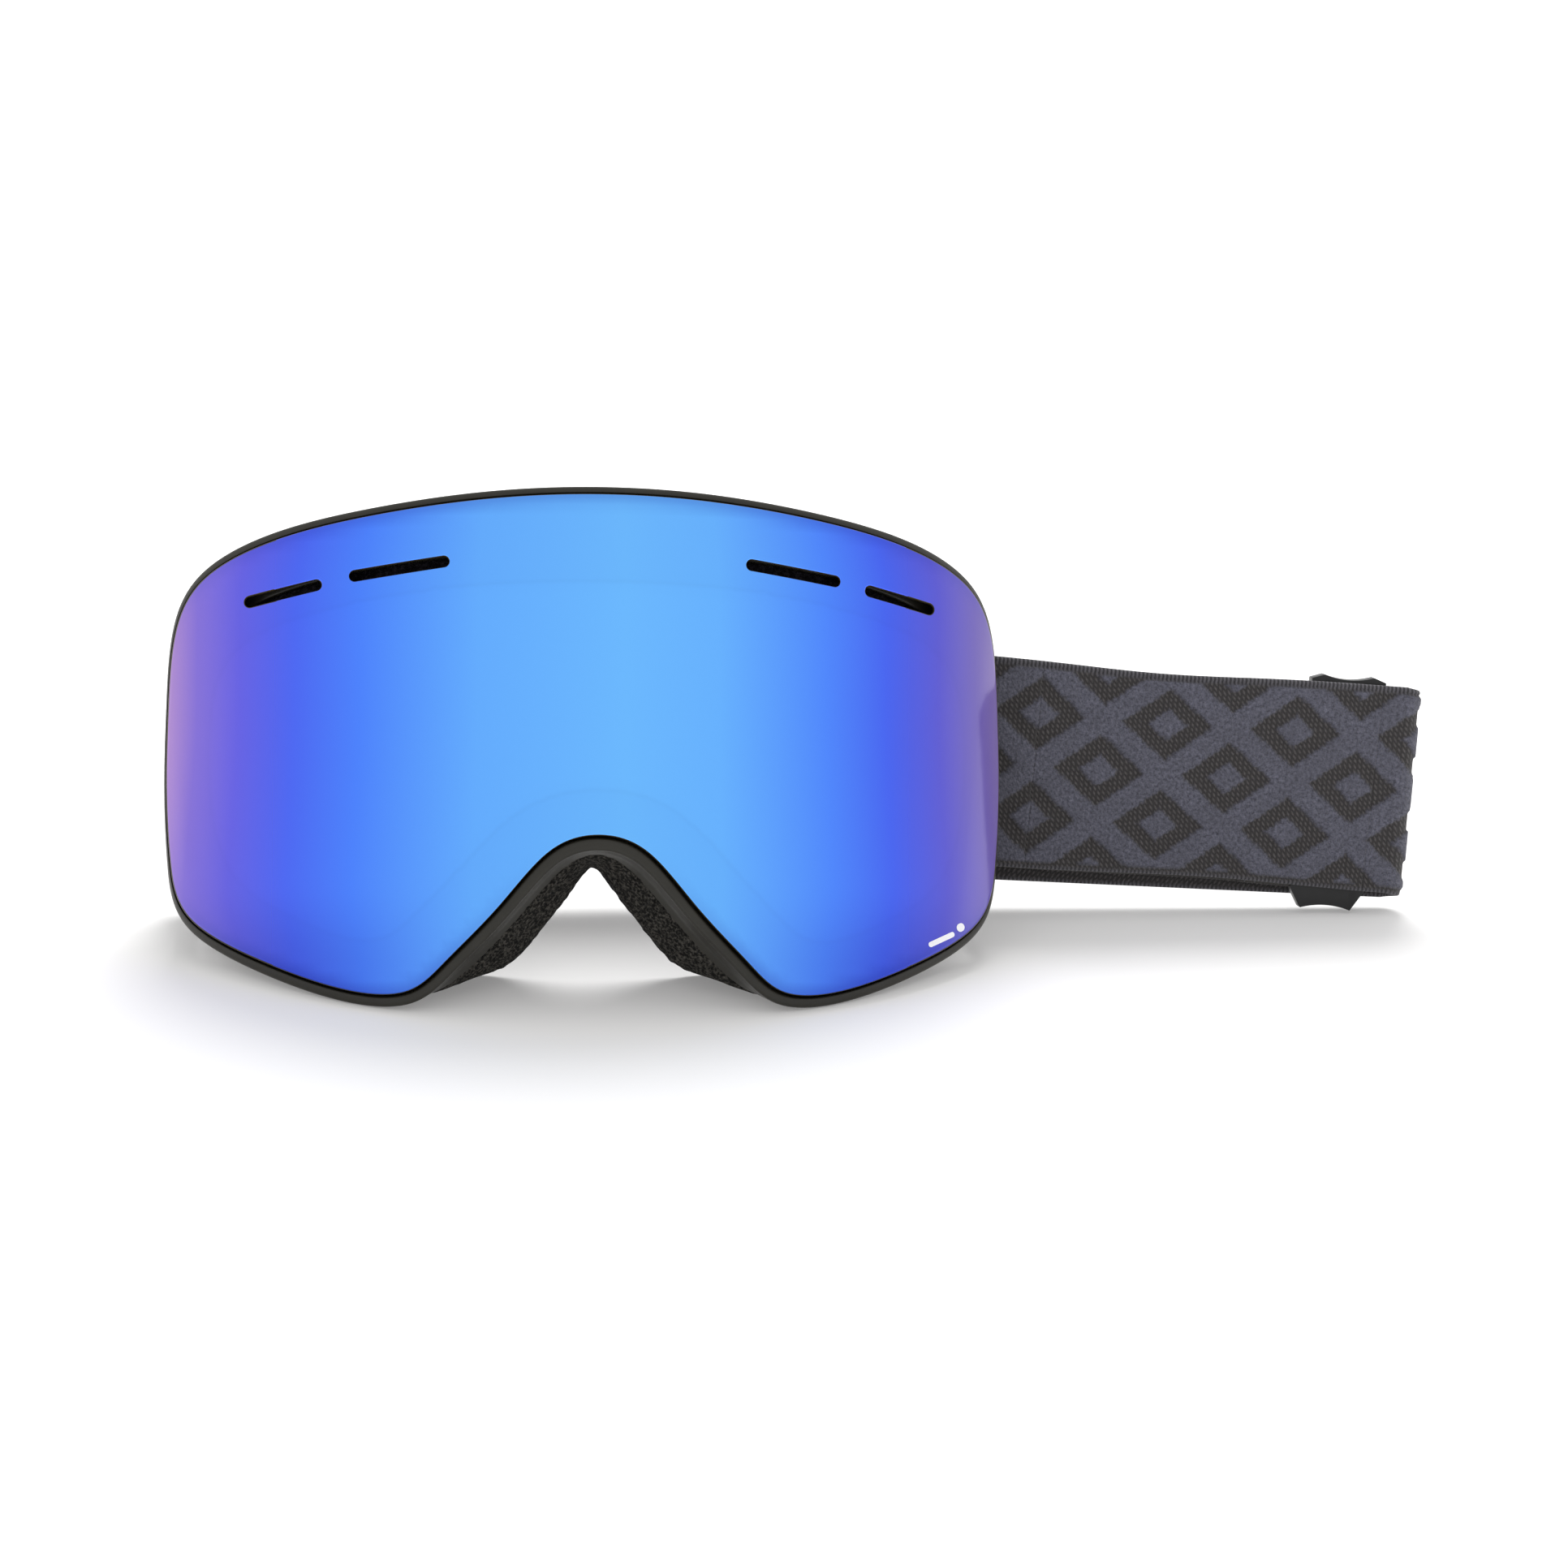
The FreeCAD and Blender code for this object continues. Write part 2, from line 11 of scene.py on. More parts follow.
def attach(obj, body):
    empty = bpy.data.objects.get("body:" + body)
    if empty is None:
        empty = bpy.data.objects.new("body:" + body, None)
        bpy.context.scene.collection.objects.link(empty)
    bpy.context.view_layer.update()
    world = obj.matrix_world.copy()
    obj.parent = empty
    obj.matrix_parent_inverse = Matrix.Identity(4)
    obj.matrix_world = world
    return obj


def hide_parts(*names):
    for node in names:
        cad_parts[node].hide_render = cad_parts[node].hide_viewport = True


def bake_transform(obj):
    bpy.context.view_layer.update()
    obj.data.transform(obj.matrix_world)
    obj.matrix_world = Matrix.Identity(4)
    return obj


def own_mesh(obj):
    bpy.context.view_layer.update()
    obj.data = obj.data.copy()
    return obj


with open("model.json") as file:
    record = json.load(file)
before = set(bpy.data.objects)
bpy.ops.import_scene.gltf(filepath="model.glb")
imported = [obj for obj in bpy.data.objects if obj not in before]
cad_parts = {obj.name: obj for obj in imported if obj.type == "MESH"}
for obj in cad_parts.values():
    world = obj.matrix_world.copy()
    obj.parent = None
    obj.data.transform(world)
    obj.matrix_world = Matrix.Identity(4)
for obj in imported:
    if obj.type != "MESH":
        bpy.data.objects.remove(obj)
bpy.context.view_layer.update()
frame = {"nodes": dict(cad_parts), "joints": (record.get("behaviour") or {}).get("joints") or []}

# Ski goggles around their CAD frame. Lengths in the section below are millimetres; everything
# placed in Blender goes through to_world() or a strap place, which give metres.
#
# Outlines and depths use the mask frame: x to the side, y from the front of the lens to the
# face, z up along the lens. The mask leans back on the floor by LEAN_BACK.

joints = {joint["name"]: joint for joint in frame["joints"]}

# driving dimensions
MM = 0.001
LEAN_BACK = math.radians(20)
LIFT = 6.32                  # the mask frame's origin above the floor
LENS_RADIUS = 109.0
LENS_THICKNESS = 1.6
LENS_HALF = 86.0             # half the lens's width, for its colours
FACE_DEPTH = 30.0
FACE_RADIUS = 115.0
SEAL_DEPTH = 13.5
OUTLINE_STEPS = 640          # points round each outline

LENS = [(0, 100), (23, 99), (46.5, 96), (65.5, 92.5), (81, 86), (85.5, 74.5), (86, 59.5),
        (86.5, 44), (85.5, 28), (83.5, 15.5), (65.5, 6.5), (49.5, 0.5), (36.5, -0.5), (30.5, 6.5),
        (19.5, 17), (10, 30), (0, 32.5)]
RIM = [(0, 101.5), (23, 100.6), (47, 97.5), (66.5, 94), (81.8, 87), (85.9, 75), (86.3, 59.5),
       (86.8, 44), (85.9, 27.5), (84.2, 14.3), (66.2, 4.6), (49.8, -1.5), (35.6, -2.8), (28.8, 4.8),
       (18, 15), (8.6, 27.5), (0, 29.6)]
GASKET = [(0, 82.5), (21, 82), (41, 80.2), (57.5, 77), (70.5, 73), (76.5, 65), (77.5, 54.5),
          (77.5, 43.5), (76, 31.5), (71, 21.5), (60, 15.5), (50, 11), (42, 10.5), (37, 15),
          (27, 25), (16, 38), (0, 42)]
SEAL_OUTER = [(0, 91), (21, 90.5), (42, 88), (57, 84.5), (69, 78.5), (72, 69), (72.5, 58.5),
              (72.5, 46.5), (71.5, 34.5), (67, 19), (53, 10.3), (38, 6.2), (25, 4.6), (17, 5.8),
              (11, 14), (4.6, 21.5), (0, 29.2)]
SEAL_INNER = [(0, 79), (18, 78.5), (36, 76.5), (49, 73.5), (58, 69), (61, 62), (61.5, 55),
              (61, 48), (59.5, 40), (56, 33), (47, 27.5), (38, 23.5), (31, 23), (26.5, 27),
              (20, 34.5), (11, 43), (0, 46.5)]
SLOTS = [((30.8, 86.3), (48.3, 84.0)), ((56.0, 82.5), (69.2, 80.0))]
SLOT_HEIGHT = 2.2
VENTS = [(4, 14, 80, 110), (18, 28, 80, 110), (32, 40, 80, 110), (37, 42, -10, 14)]    # x and z of each

# depths behind the front of the lens
SPACER_DEPTHS = (1.75, 4.2)
INNER_LENS_DEPTHS = (4.65, 5.45)
RIM_DEPTHS = (1.5, 1.9, 3.4)
FLANGE_DEPTHS = (3.6, 5.4)
WALL_RISE = 1.2              # the frame's side wall starts this far behind the flange
SEAT_THICKNESS = 1.6

STRAP_WIDTH = 45.0
WEBBING = 1.6
LEAF_OFFSET = 3.1            # middle of the webbing from the line between the pivots
ROOT_OFFSET = 2.6            # the same at the strap bar
BACK_DROP = 1.9
STRAP_LEAN = math.radians(8)
SLIDER_EDGES = {"left": 73.55, "right": 49.75}     # along the leaf from the strap bar
RETURN_DROP = 0.8            # the inner layers hang this much lower
RETURN_OFFSETS = (2.5, 0.25) # the inner layer at the bar and at its sewn end, as LEAF_OFFSET
RETURN_ROOT = 7.4            # where the inner layer begins to slope
RETURN_PINCH = 1.4           # the right inner layer draws in by this at the bar
RIGHT_PINCH = 1.5            # and the right outer layer by this
PINCH_RANGE = (3.0, 9.0)
INNER_WEBBING = 1.4
TAIL_LENGTH = 12.4
TAIL_LAYER = 1.25
TAIL_SPREAD = 0.66           # each tail layer's middle from the tail's middle
WRAP_WEBBING = 1.5
PILE_HEIGHT = 0.5
ROOT_REACH = 9.0             # the left root runs on this far inside, past the bar
ROOT_END = 14.0              # and this far outside, along the leaf
TURN_MARGIN = 5.5            # the fold's piece reaches this far into each leaf
KNEE_MARGIN = 10.0           # and the piece at the turn behind the mask this far
KNEE_EASE = 6.0
INNER_STARTS = {"left": 7.9, "right": 6.0}
RIGHT_START = 4.8            # the right leaf's outer layer starts this far from the bar
FINE = 0.42                  # mesh steps of the webbing, for the parts seen close up
COARSE = 0.6                 # and for the rest
PLAIN_STEP = 1.2             # across webbing without a pattern
STITCH_ROWS = (2.2, 4.4, 9.8)
STITCH_PITCH = 2.3
STITCH_RISE = 1.3
STITCH_SIZE = (1.9, 0.2)     # length and radius
GRIP_HEIGHTS = (-13.2, -1.2, 10.8)
GRIP_WIDTH = 2.4
GRIP_ENDS = (14.0, 31.0)     # bare webbing before and after the grip strips
GRIP_PITCH = 3.0             # of the ridges along a strip

rng = np.random.default_rng(7)


# ---------------------------------------------------------------- outlines and depths

def outline(half, count=OUTLINE_STEPS):
    """Points of a closed smooth outline from the control points of its half."""
    points = np.array(half + [(-x, z) for x, z in reversed(half[1:-1])], float)
    u = np.arange(count) * len(points) / count
    n = np.floor(u).astype(int)
    t = (u - n)[:, None]
    weights = [(1 - t) ** 3, 3 * t ** 3 - 6 * t ** 2 + 4, -3 * t ** 3 + 3 * t ** 2 + 3 * t + 1, t ** 3]
    return sum(w * points[(n + k - 1) % len(points)] for k, w in enumerate(weights)) / 6


def mix(first, second, share):
    return first + share * (second - first)


def grown(loop, distance):
    """A closed 2D loop moved outwards."""
    tangent = np.roll(loop, -1, 0) - np.roll(loop, 1, 0)
    tangent /= np.linalg.norm(tangent, axis=1)[:, None]
    normal = np.stack([tangent[:, 1], -tangent[:, 0]], 1)
    area = np.sum(loop[:, 0] * np.roll(loop[:, 1], -1) - np.roll(loop[:, 0], -1) * loop[:, 1])
    return loop + normal * distance * np.sign(area)


def inside(points, loop):
    """Which 2D points are inside a closed loop."""
    x, z = points[:, 0][:, None], points[:, 1][:, None]
    x0, z0 = loop[:, 0][None], loop[:, 1][None]
    x1, z1 = np.roll(loop[:, 0], -1)[None], np.roll(loop[:, 1], -1)[None]
    crosses = (z0 > z) != (z1 > z)
    slope = (x1 - x0) / np.where(z1 == z0, 1e-9, z1 - z0)
    return np.sum(crosses & (x < x0 + (z - z0) * slope), axis=1) % 2 == 1


def gap_to(line, points):
    """Distance from 2D points to a closed line, negative inside it."""
    gaps = np.full(len(points), 1e9)
    for part in np.array_split(line, 16):
        gaps = np.minimum(gaps, np.min(np.linalg.norm(points[:, None] - part[None], axis=2), axis=1))
    return np.where(inside(points, line), -gaps, gaps)


def eased(value, low, high):
    """0 below low, 1 above high, and smooth between."""
    t = np.clip((value - low) / (high - low), 0, 1)
    return t * t * (3 - 2 * t)


def lens_y(x, depth=0.0):
    """Depth in the mask frame of the cylinder that lies this far behind the front of the lens."""
    return LENS_RADIUS - np.sqrt((LENS_RADIUS - depth) ** 2 - x * x)


def face_y(x):
    """Depth of the face side of the seal."""
    return FACE_DEPTH + x * x / (2 * FACE_RADIUS)


def seal_seat(x):
    """Depth of the frame's face that the foam is glued to."""
    return face_y(x) - SEAL_DEPTH


def behind_lens(depth, further=0.0):
    """A depth at x for band()."""
    return lambda x: lens_y(x, depth) + further


def to_world(points):
    """Mask frame millimetres to metres in the row frame."""
    x, y, z = np.asarray(points, float).T
    c, s = math.cos(LEAN_BACK), math.sin(LEAN_BACK)
    return np.stack([x, y * c + z * s, z * c - y * s + LIFT], 1) * MM


def to_mask(points):
    """Metres in the row frame to mask frame millimetres."""
    x, y, z = (np.asarray(points) / MM).T
    c, s = math.cos(LEAN_BACK), math.sin(LEAN_BACK)
    return np.stack([x, y * c - (z - LIFT) * s, y * s + (z - LIFT) * c], 1)


lens_line = outline(LENS)
rim_line = outline(RIM)
gasket_line = outline(GASKET)
seal_out = outline(SEAL_OUTER)
seal_in = outline(SEAL_INNER)


def slot_line(start, end, height, count=48):
    """A rounded slot as a closed loop, from the middles of its two ends."""
    a, b = np.array(start), np.array(end)
    heading = math.atan2(b[1] - a[1], b[0] - a[0])
    turn = heading + math.pi / 2 + np.linspace(0, math.pi, count // 2)
    near = a + height / 2 * np.stack([np.cos(turn), np.sin(turn)], 1)
    far = b - height / 2 * np.stack([np.cos(turn), np.sin(turn)], 1)
    steps = np.linspace(0, 1, 14)[1:-1, None]
    return np.concatenate([near, mix(near[-1], far[0], steps), far, mix(far[-1], near[0], steps)])


# ---------------------------------------------------------------- meshes

def linked(name, data):
    """A new object in the scene with this mesh, light or camera."""
    obj = bpy.data.objects.new(name, data)
    bpy.context.scene.collection.objects.link(obj)
    return obj


def new_object(name, vertices, faces, smooth=True):
    """A mesh object with its doubled points merged and its faces turned outwards."""
    mesh = bpy.data.meshes.new(name)
    mesh.from_pydata([tuple(v) for v in vertices], [], [tuple(f) for f in faces])
    work = bmesh.new()
    work.from_mesh(mesh)
    bmesh.ops.remove_doubles(work, verts=work.verts, dist=1e-6)
    bmesh.ops.recalc_face_normals(work, faces=work.faces)
    work.to_mesh(mesh)
    work.free()
    for polygon in mesh.polygons:
        polygon.use_smooth = smooth
    return linked(name, mesh)


def coordinates(obj):
    found = np.empty(len(obj.data.vertices) * 3)
    obj.data.vertices.foreach_get("co", found)
    return found.reshape(-1, 3)


def set_coordinates(obj, points):
    obj.data.vertices.foreach_set("co", points.ravel())
    obj.data.update()


def point_values(obj, name, values):
    """Stores one value or vector per vertex for the materials."""
    kind, field = ("FLOAT", "value") if values.ndim == 1 else ("FLOAT_VECTOR", "vector")
    attribute = obj.data.attributes.new(name, kind, "POINT")
    attribute.data.foreach_set(field, values.astype(np.float32).ravel())


def ripple(points, size, waves=14):
    """Smooth random values, about -1 to 1, that change over this size."""
    total = np.zeros(len(points))
    for _ in range(waves):
        direction = rng.normal(size=3)
        direction *= rng.uniform(0.6, 1.6) / np.linalg.norm(direction)
        total += np.sin(points @ direction * (2 * math.pi / size) + rng.uniform(0, 2 * math.pi))
    return total / math.sqrt(waves / 2) / 1.6


def roughen(obj, height, size):
    """Moves the surface in and out by about height, in waves of this size, in millimetres."""
    points = coordinates(obj)
    normals = np.empty(len(points) * 3, np.float32)
    obj.data.vertices.foreach_get("normal", normals)
    shift = ripple(points / MM, size) * height * MM
    set_coordinates(obj, points + normals.reshape(-1, 3) * shift[:, None])


def band(name, corners, radius=0.6, side_steps=6, corner_steps=4):
    """A closed band whose section joins corner loops, with rounded corners.

    Each corner is (outline, depth at x)."""
    stations = [np.stack([line[:, 0], depth(line[:, 0]), line[:, 1]], 1) for line, depth in corners]
    loops = []
    count = len(stations)
    for k in range(count):
        before, here, after = stations[k - 1], stations[k], stations[(k + 1) % count]
        back_length = np.linalg.norm(before - here, axis=1)[:, None]
        next_length = np.linalg.norm(after - here, axis=1)[:, None]
        a = here + (before - here) * np.minimum(radius / back_length, 0.45)
        b = here + (after - here) * np.minimum(radius / next_length, 0.45)
        end = after + (here - after) * np.minimum(radius / next_length, 0.45)
        for t in np.linspace(0, 1, corner_steps + 1):
            loops.append((1 - t) ** 2 * a + 2 * t * (1 - t) * here + t * t * b)
        for t in np.linspace(0, 1, side_steps + 1)[1:-1]:
            loops.append(mix(b, end, t))
    vertices = to_world(np.concatenate(loops))
    total = len(loops)
    steps = len(stations[0])
    faces = [(i * steps + j, i * steps + (j + 1) % steps,
              (i + 1) % total * steps + (j + 1) % steps, (i + 1) % total * steps + j)
             for i in range(total) for j in range(steps)]
    return new_object(name, vertices, faces)


def face_plate(name, loop, holes, front, back, bevel, spacing, support=0.35):
    """A plate that follows the lens cylinder between two depths, with rolled edges and holes."""
    vertices, faces = [], []

    def add(points2d, depth):
        start = sum(len(v) for v in vertices)
        vertices.append(np.stack([points2d[:, 0], lens_y(points2d[:, 0], depth), points2d[:, 1]], 1))
        return start

    for line, sign in [(loop, -1)] + [(hole, 1) for hole in holes]:
        profile = [(bevel + support, front)]
        for angle in np.linspace(0, math.pi / 2, 5):
            profile.append((bevel * (1 - math.sin(angle)), front + bevel * (1 - math.cos(angle))))
        profile += [(inset, front + back - depth) for inset, depth in reversed(profile)]
        starts = [add(grown(line, sign * inset), depth) for inset, depth in profile]
        steps = len(line)
        for a, b in zip(starts, starts[1:]):
            faces += [(a + j, a + (j + 1) % steps, b + (j + 1) % steps, b + j) for j in range(steps)]

    edge = grown(loop, -bevel - support)
    cuts = [grown(hole, bevel + support) for hole in holes]
    low, high = edge.min(0), edge.max(0)
    grid = np.stack(np.meshgrid(np.arange(low[0], high[0], spacing),
                                np.arange(low[1], high[1], spacing * 1.5)), -1).reshape(-1, 2)
    keep = inside(grid, grown(edge, -spacing * 0.4))
    for cut in cuts:
        keep &= ~inside(grid, grown(cut, spacing * 0.4))
    points = [edge] + cuts
    constraints, start = [], 0
    for line in points:
        constraints += [(start + j, start + (j + 1) % len(line)) for j in range(len(line))]
        start += len(line)
    flat = np.concatenate(points + [grid[keep]])
    found = delaunay_2d_cdt([Vector(p) for p in flat], constraints, [], 0, 1e-7, False)
    corners = np.array([tuple(v) for v in found[0]])
    triangles = np.array([f for f in found[2]])
    middles = corners[triangles].mean(1)
    keep = inside(middles, edge)
    for cut in cuts:
        keep &= ~inside(middles, cut)
    for depth in (front, back):
        offset = add(corners, depth)
        faces += [tuple(offset + i for i in triangle) for triangle in triangles[keep]]
    return new_object(name, to_world(np.concatenate(vertices)), faces)


def settled(obj):
    """Applies the object's modifiers to its mesh."""
    evaluated = obj.evaluated_get(bpy.context.evaluated_depsgraph_get())
    mesh = bpy.data.meshes.new_from_object(evaluated)
    obj.modifiers.clear()
    obj.data = mesh
    return obj


def finished_copy(node, name, bevel):
    """A copy of a CAD node with its edges rounded."""
    mesh = frame["nodes"][node].data.copy()
    mesh.name = name
    mesh.materials.clear()
    work = bmesh.new()
    work.from_mesh(mesh)
    bmesh.ops.remove_doubles(work, verts=work.verts, dist=1e-6)
    bmesh.ops.dissolve_limit(work, angle_limit=math.radians(1), verts=work.verts, edges=work.edges)
    work.to_mesh(mesh)
    work.free()
    obj = linked(name, mesh)
    rounding = obj.modifiers.new("rounding", "BEVEL")
    rounding.width = bevel * MM
    rounding.segments = 3
    rounding.limit_method = "ANGLE"
    rounding.angle_limit = math.radians(35)
    rounding.use_clamp_overlap = True
    settled(obj)
    for polygon in obj.data.polygons:
        polygon.use_smooth = True
    obj.data.set_sharp_from_angle(angle=math.radians(38))
    return obj


def swept_faces(stations, count):
    """Faces of a closed section carried along stations, with both ends capped."""
    faces = []
    for i in range(stations - 1):
        a, b = i * count, (i + 1) * count
        faces += [(a + j, a + (j + 1) % count, b + (j + 1) % count, b + j) for j in range(count)]
    faces.append(tuple(range(count)))
    faces.append(tuple((stations - 1) * count + j for j in range(count)))
    return faces


def capsules(name, places, length, radius, steps=7):
    """Short rounded threads, each given by its middle in metres, its run and its outward direction."""
    vertices, faces = [], []
    sections = [(-0.5, 0.35), (-0.42, 0.8), (-0.2, 1.0), (0.2, 1.0), (0.42, 0.8), (0.5, 0.35)]
    for middle, run, out in places:
        side = run.cross(out).normalized()
        base = len(vertices)
        for share, width in sections:
            for k in range(steps):
                angle = 2 * math.pi * k / steps
                ring = (side * math.cos(angle) + out * math.sin(angle)) * radius * width * MM
                vertices.append(middle + run * share * length * MM + ring)
        faces += [tuple(base + k for k in face) for face in swept_faces(len(sections), steps)]
    return new_object(name, vertices, faces)


# ---------------------------------------------------------------- materials

class Finish:
    """A Principled material that is built up from procedural parts."""

    def __init__(self, name, colour, roughness, **settings):
        self.material = bpy.data.materials.new(name)
        self.material.use_nodes = True
        self.nodes = self.material.node_tree.nodes
        self.links = self.material.node_tree.links
        self.shader = self.nodes["Principled BSDF"]
        self.shader.inputs["Base Color"].default_value = (*colour, 1)
        self.shader.inputs["Roughness"].default_value = roughness
        for socket, value in settings.items():
            self.shader.inputs[socket.replace("_", " ")].default_value = value
        self.height = None

    def value(self, attribute, output="Fac"):
        """A value stored on the mesh."""
        node = self.nodes.new("ShaderNodeAttribute")
        node.attribute_name = attribute
        return node.outputs[output]

    def texture(self, kind, attribute, **settings):
        """A texture node that reads a mesh attribute, or else the object's own coordinates."""
        node = self.nodes.new("ShaderNodeTex" + kind)
        for socket, value in settings.items():
            node.inputs[socket].default_value = value
        if attribute:
            place = self.value(attribute, "Vector")
        else:
            place = self.nodes.new("ShaderNodeTexCoord").outputs["Object"]
        self.links.new(place, node.inputs["Vector"])
        return node

    def noise(self, scale, detail=4.0, roughness=0.6, attribute=None):
        node = self.texture("Noise", attribute, Scale=scale, Detail=detail, Roughness=roughness)
        return node.outputs["Fac"]

    def cells(self, scale):
        return self.texture("Voronoi", None, Scale=scale).outputs["Distance"]

    def waves(self, scale, direction, attribute, distortion=0.0):
        node = self.texture("Wave", attribute, Scale=scale, Distortion=distortion)
        node.bands_direction = direction
        return node.outputs["Fac"]

    def blended(self, amount, first, second):
        """A colour between two, by a varying amount. Each is a colour or an output."""
        node = self.nodes.new("ShaderNodeMix")
        node.data_type = "RGBA"
        self.links.new(amount, node.inputs[0])
        for socket, colour in ((node.inputs[6], first), (node.inputs[7], second)):
            if isinstance(colour, tuple):
                socket.default_value = (*colour, 1)
            else:
                self.links.new(colour, socket)
        return node.outputs[2]

    def ramped(self, value, stops):
        """A colour from stops of (place, colour)."""
        node = self.nodes.new("ShaderNodeValToRGB")
        elements = node.color_ramp.elements
        while len(elements) < len(stops):
            elements.new(0.5)
        for element, (place, colour) in zip(elements, stops):
            element.position = place
            element.color = (*colour, 1)
        self.links.new(value, node.inputs["Fac"])
        return node.outputs["Color"]

    def ranged(self, value, low, high, to_low, to_high):
        node = self.nodes.new("ShaderNodeMapRange")
        node.inputs["From Min"].default_value = low
        node.inputs["From Max"].default_value = high
        node.inputs["To Min"].default_value = to_low
        node.inputs["To Max"].default_value = to_high
        self.links.new(value, node.inputs["Value"])
        return node.outputs["Result"]

    def colour_from(self, output):
        self.links.new(output, self.shader.inputs["Base Color"])

    def roughness_from(self, output):
        self.links.new(output, self.shader.inputs["Roughness"])

    def bump(self, output, strength, distance):
        """Adds relief of this depth in millimetres."""
        node = self.nodes.new("ShaderNodeBump")
        node.inputs["Strength"].default_value = strength
        node.inputs["Distance"].default_value = distance * MM
        self.links.new(output, node.inputs["Height"])
        if self.height:
            self.links.new(self.height, node.inputs["Normal"])
        self.height = node.outputs["Normal"]
        self.links.new(self.height, self.shader.inputs["Normal"])


def mottled(name, dark, light, roughness, patches, grain, relief, detail=4.0, **settings):
    """Two close colours in patches, under a fine grain. relief is its strength and its depth."""
    finish = Finish(name, dark, roughness, **settings)
    finish.colour_from(finish.blended(finish.noise(patches, detail), dark, light))
    finish.bump(finish.noise(grain, detail), *relief)
    return finish.material


def plastic(name, colour, light, roughness=0.42, grain=900.0, depth=0.03):
    """Moulded plastic with a fine eroded grain and slight mottling."""
    finish = Finish(name, colour, roughness, Specular_IOR_Level=0.34)
    mottle = finish.noise(180.0)
    finish.colour_from(finish.blended(mottle, colour, light))
    finish.roughness_from(finish.ranged(finish.noise(70.0), 0.3, 0.7, roughness - 0.06, roughness + 0.1))
    finish.bump(finish.noise(grain, 3.0), 0.35, depth)
    return finish.material


def foam(name, colour, light, cell, depth):
    """Open-cell foam: dark hollows between lighter cell rims, the darkness of each hollow painted shade,
    under a speckled grain.
    """
    finish = Finish(name, colour, 0.95, Specular_IOR_Level=0.15)
    pits_and_shade = finish.cells(cell)
    specks = finish.noise(cell * 1.1, 3.0, 0.75)
    pit_shaded_walls = finish.ramped(pits_and_shade, [(0.15, colour), (0.6, light)])
    finish.colour_from(finish.blended(finish.ranged(specks, 0.42, 0.6, 0.0, 1.0), colour, pit_shaded_walls))
    finish.bump(pits_and_shade, 0.7, depth)
    finish.bump(specks, 0.6, depth * 0.6)
    return finish.material


def fleece_cloth(name, colour, light):
    """Short matted nap."""
    finish = Finish(name, colour, 1.0, Sheen_Weight=0.06, Sheen_Roughness=0.45)
    tufts = finish.ranged(finish.noise(620.0, 6.0, 0.85), 0.40, 0.60, 0.0, 1.0)
    finish.colour_from(finish.blended(tufts, colour, light))
    finish.bump(tufts, 1.0, 0.6)
    finish.bump(finish.noise(190.0, 3.0), 0.5, 0.5)
    return finish.material


def metal(name, colour, roughness):
    """Plated metal with faint scuffs."""
    finish = Finish(name, colour, roughness, Metallic=1.0)
    scuffs = finish.noise(260.0, 5.0)
    finish.roughness_from(finish.ranged(scuffs, 0.3, 0.7, roughness - 0.08, roughness + 0.14))
    finish.bump(finish.noise(900.0), 0.15, 0.02)
    return finish.material


def lens_mirror():
    """Mirror coating in its own blue; the run from azure in the middle to violet and mauve at the sides is
    painted reflection, fixed in the colour.
    """
    finish = Finish("lens_mirror", (0.1, 0.4, 0.95), 0.1, Metallic=0.88, Coat_Weight=0.12,
                    Coat_Roughness=0.03)
    across = finish.ranged(finish.value("coating_and_reflection_hue"), -1.0, 1.0, 0.0, 1.0)
    colour = finish.ramped(across, [
        (0.00, (0.37, 0.21, 0.54)), (0.035, (0.18, 0.115, 0.60)), (0.085, (0.10, 0.09, 0.70)),
        (0.15, (0.066, 0.13, 0.87)), (0.225, (0.066, 0.215, 0.96)), (0.36, (0.118, 0.40, 0.97)),
        (0.53, (0.14, 0.468, 0.975)), (0.64, (0.127, 0.43, 0.975)), (0.77, (0.073, 0.235, 0.96)),
        (0.845, (0.058, 0.125, 0.86)), (0.915, (0.08, 0.075, 0.60)), (0.965, (0.14, 0.10, 0.45)),
        (1.00, (0.22, 0.16, 0.40)),
    ])
    line = finish.ramped(finish.ranged(finish.value("gasket_gap"), -3.0, 3.0, 0.0, 1.0), [
        (0.0, (0.0, 0.0, 0.0)), (0.36, (0.01, 0.01, 0.01)), (0.5, (0.055, 0.055, 0.055)),
        (0.62, (0.03, 0.03, 0.03)), (1.0, (0.025, 0.025, 0.025)),
    ])
    shaded = finish.blended(line, colour, (0.02, 0.03, 0.24))
    finish.colour_from(finish.blended(finish.value("edge_shade"), shaded, (0.015, 0.035, 0.42)))
    metallic = finish.ranged(finish.value("side_turn"), 0.0, 1.0, 0.88, 0.12)
    finish.links.new(metallic, finish.shader.inputs["Metallic"])
    finish.bump(finish.noise(14.0, 2.0), 0.04, 0.02)
    return finish.material


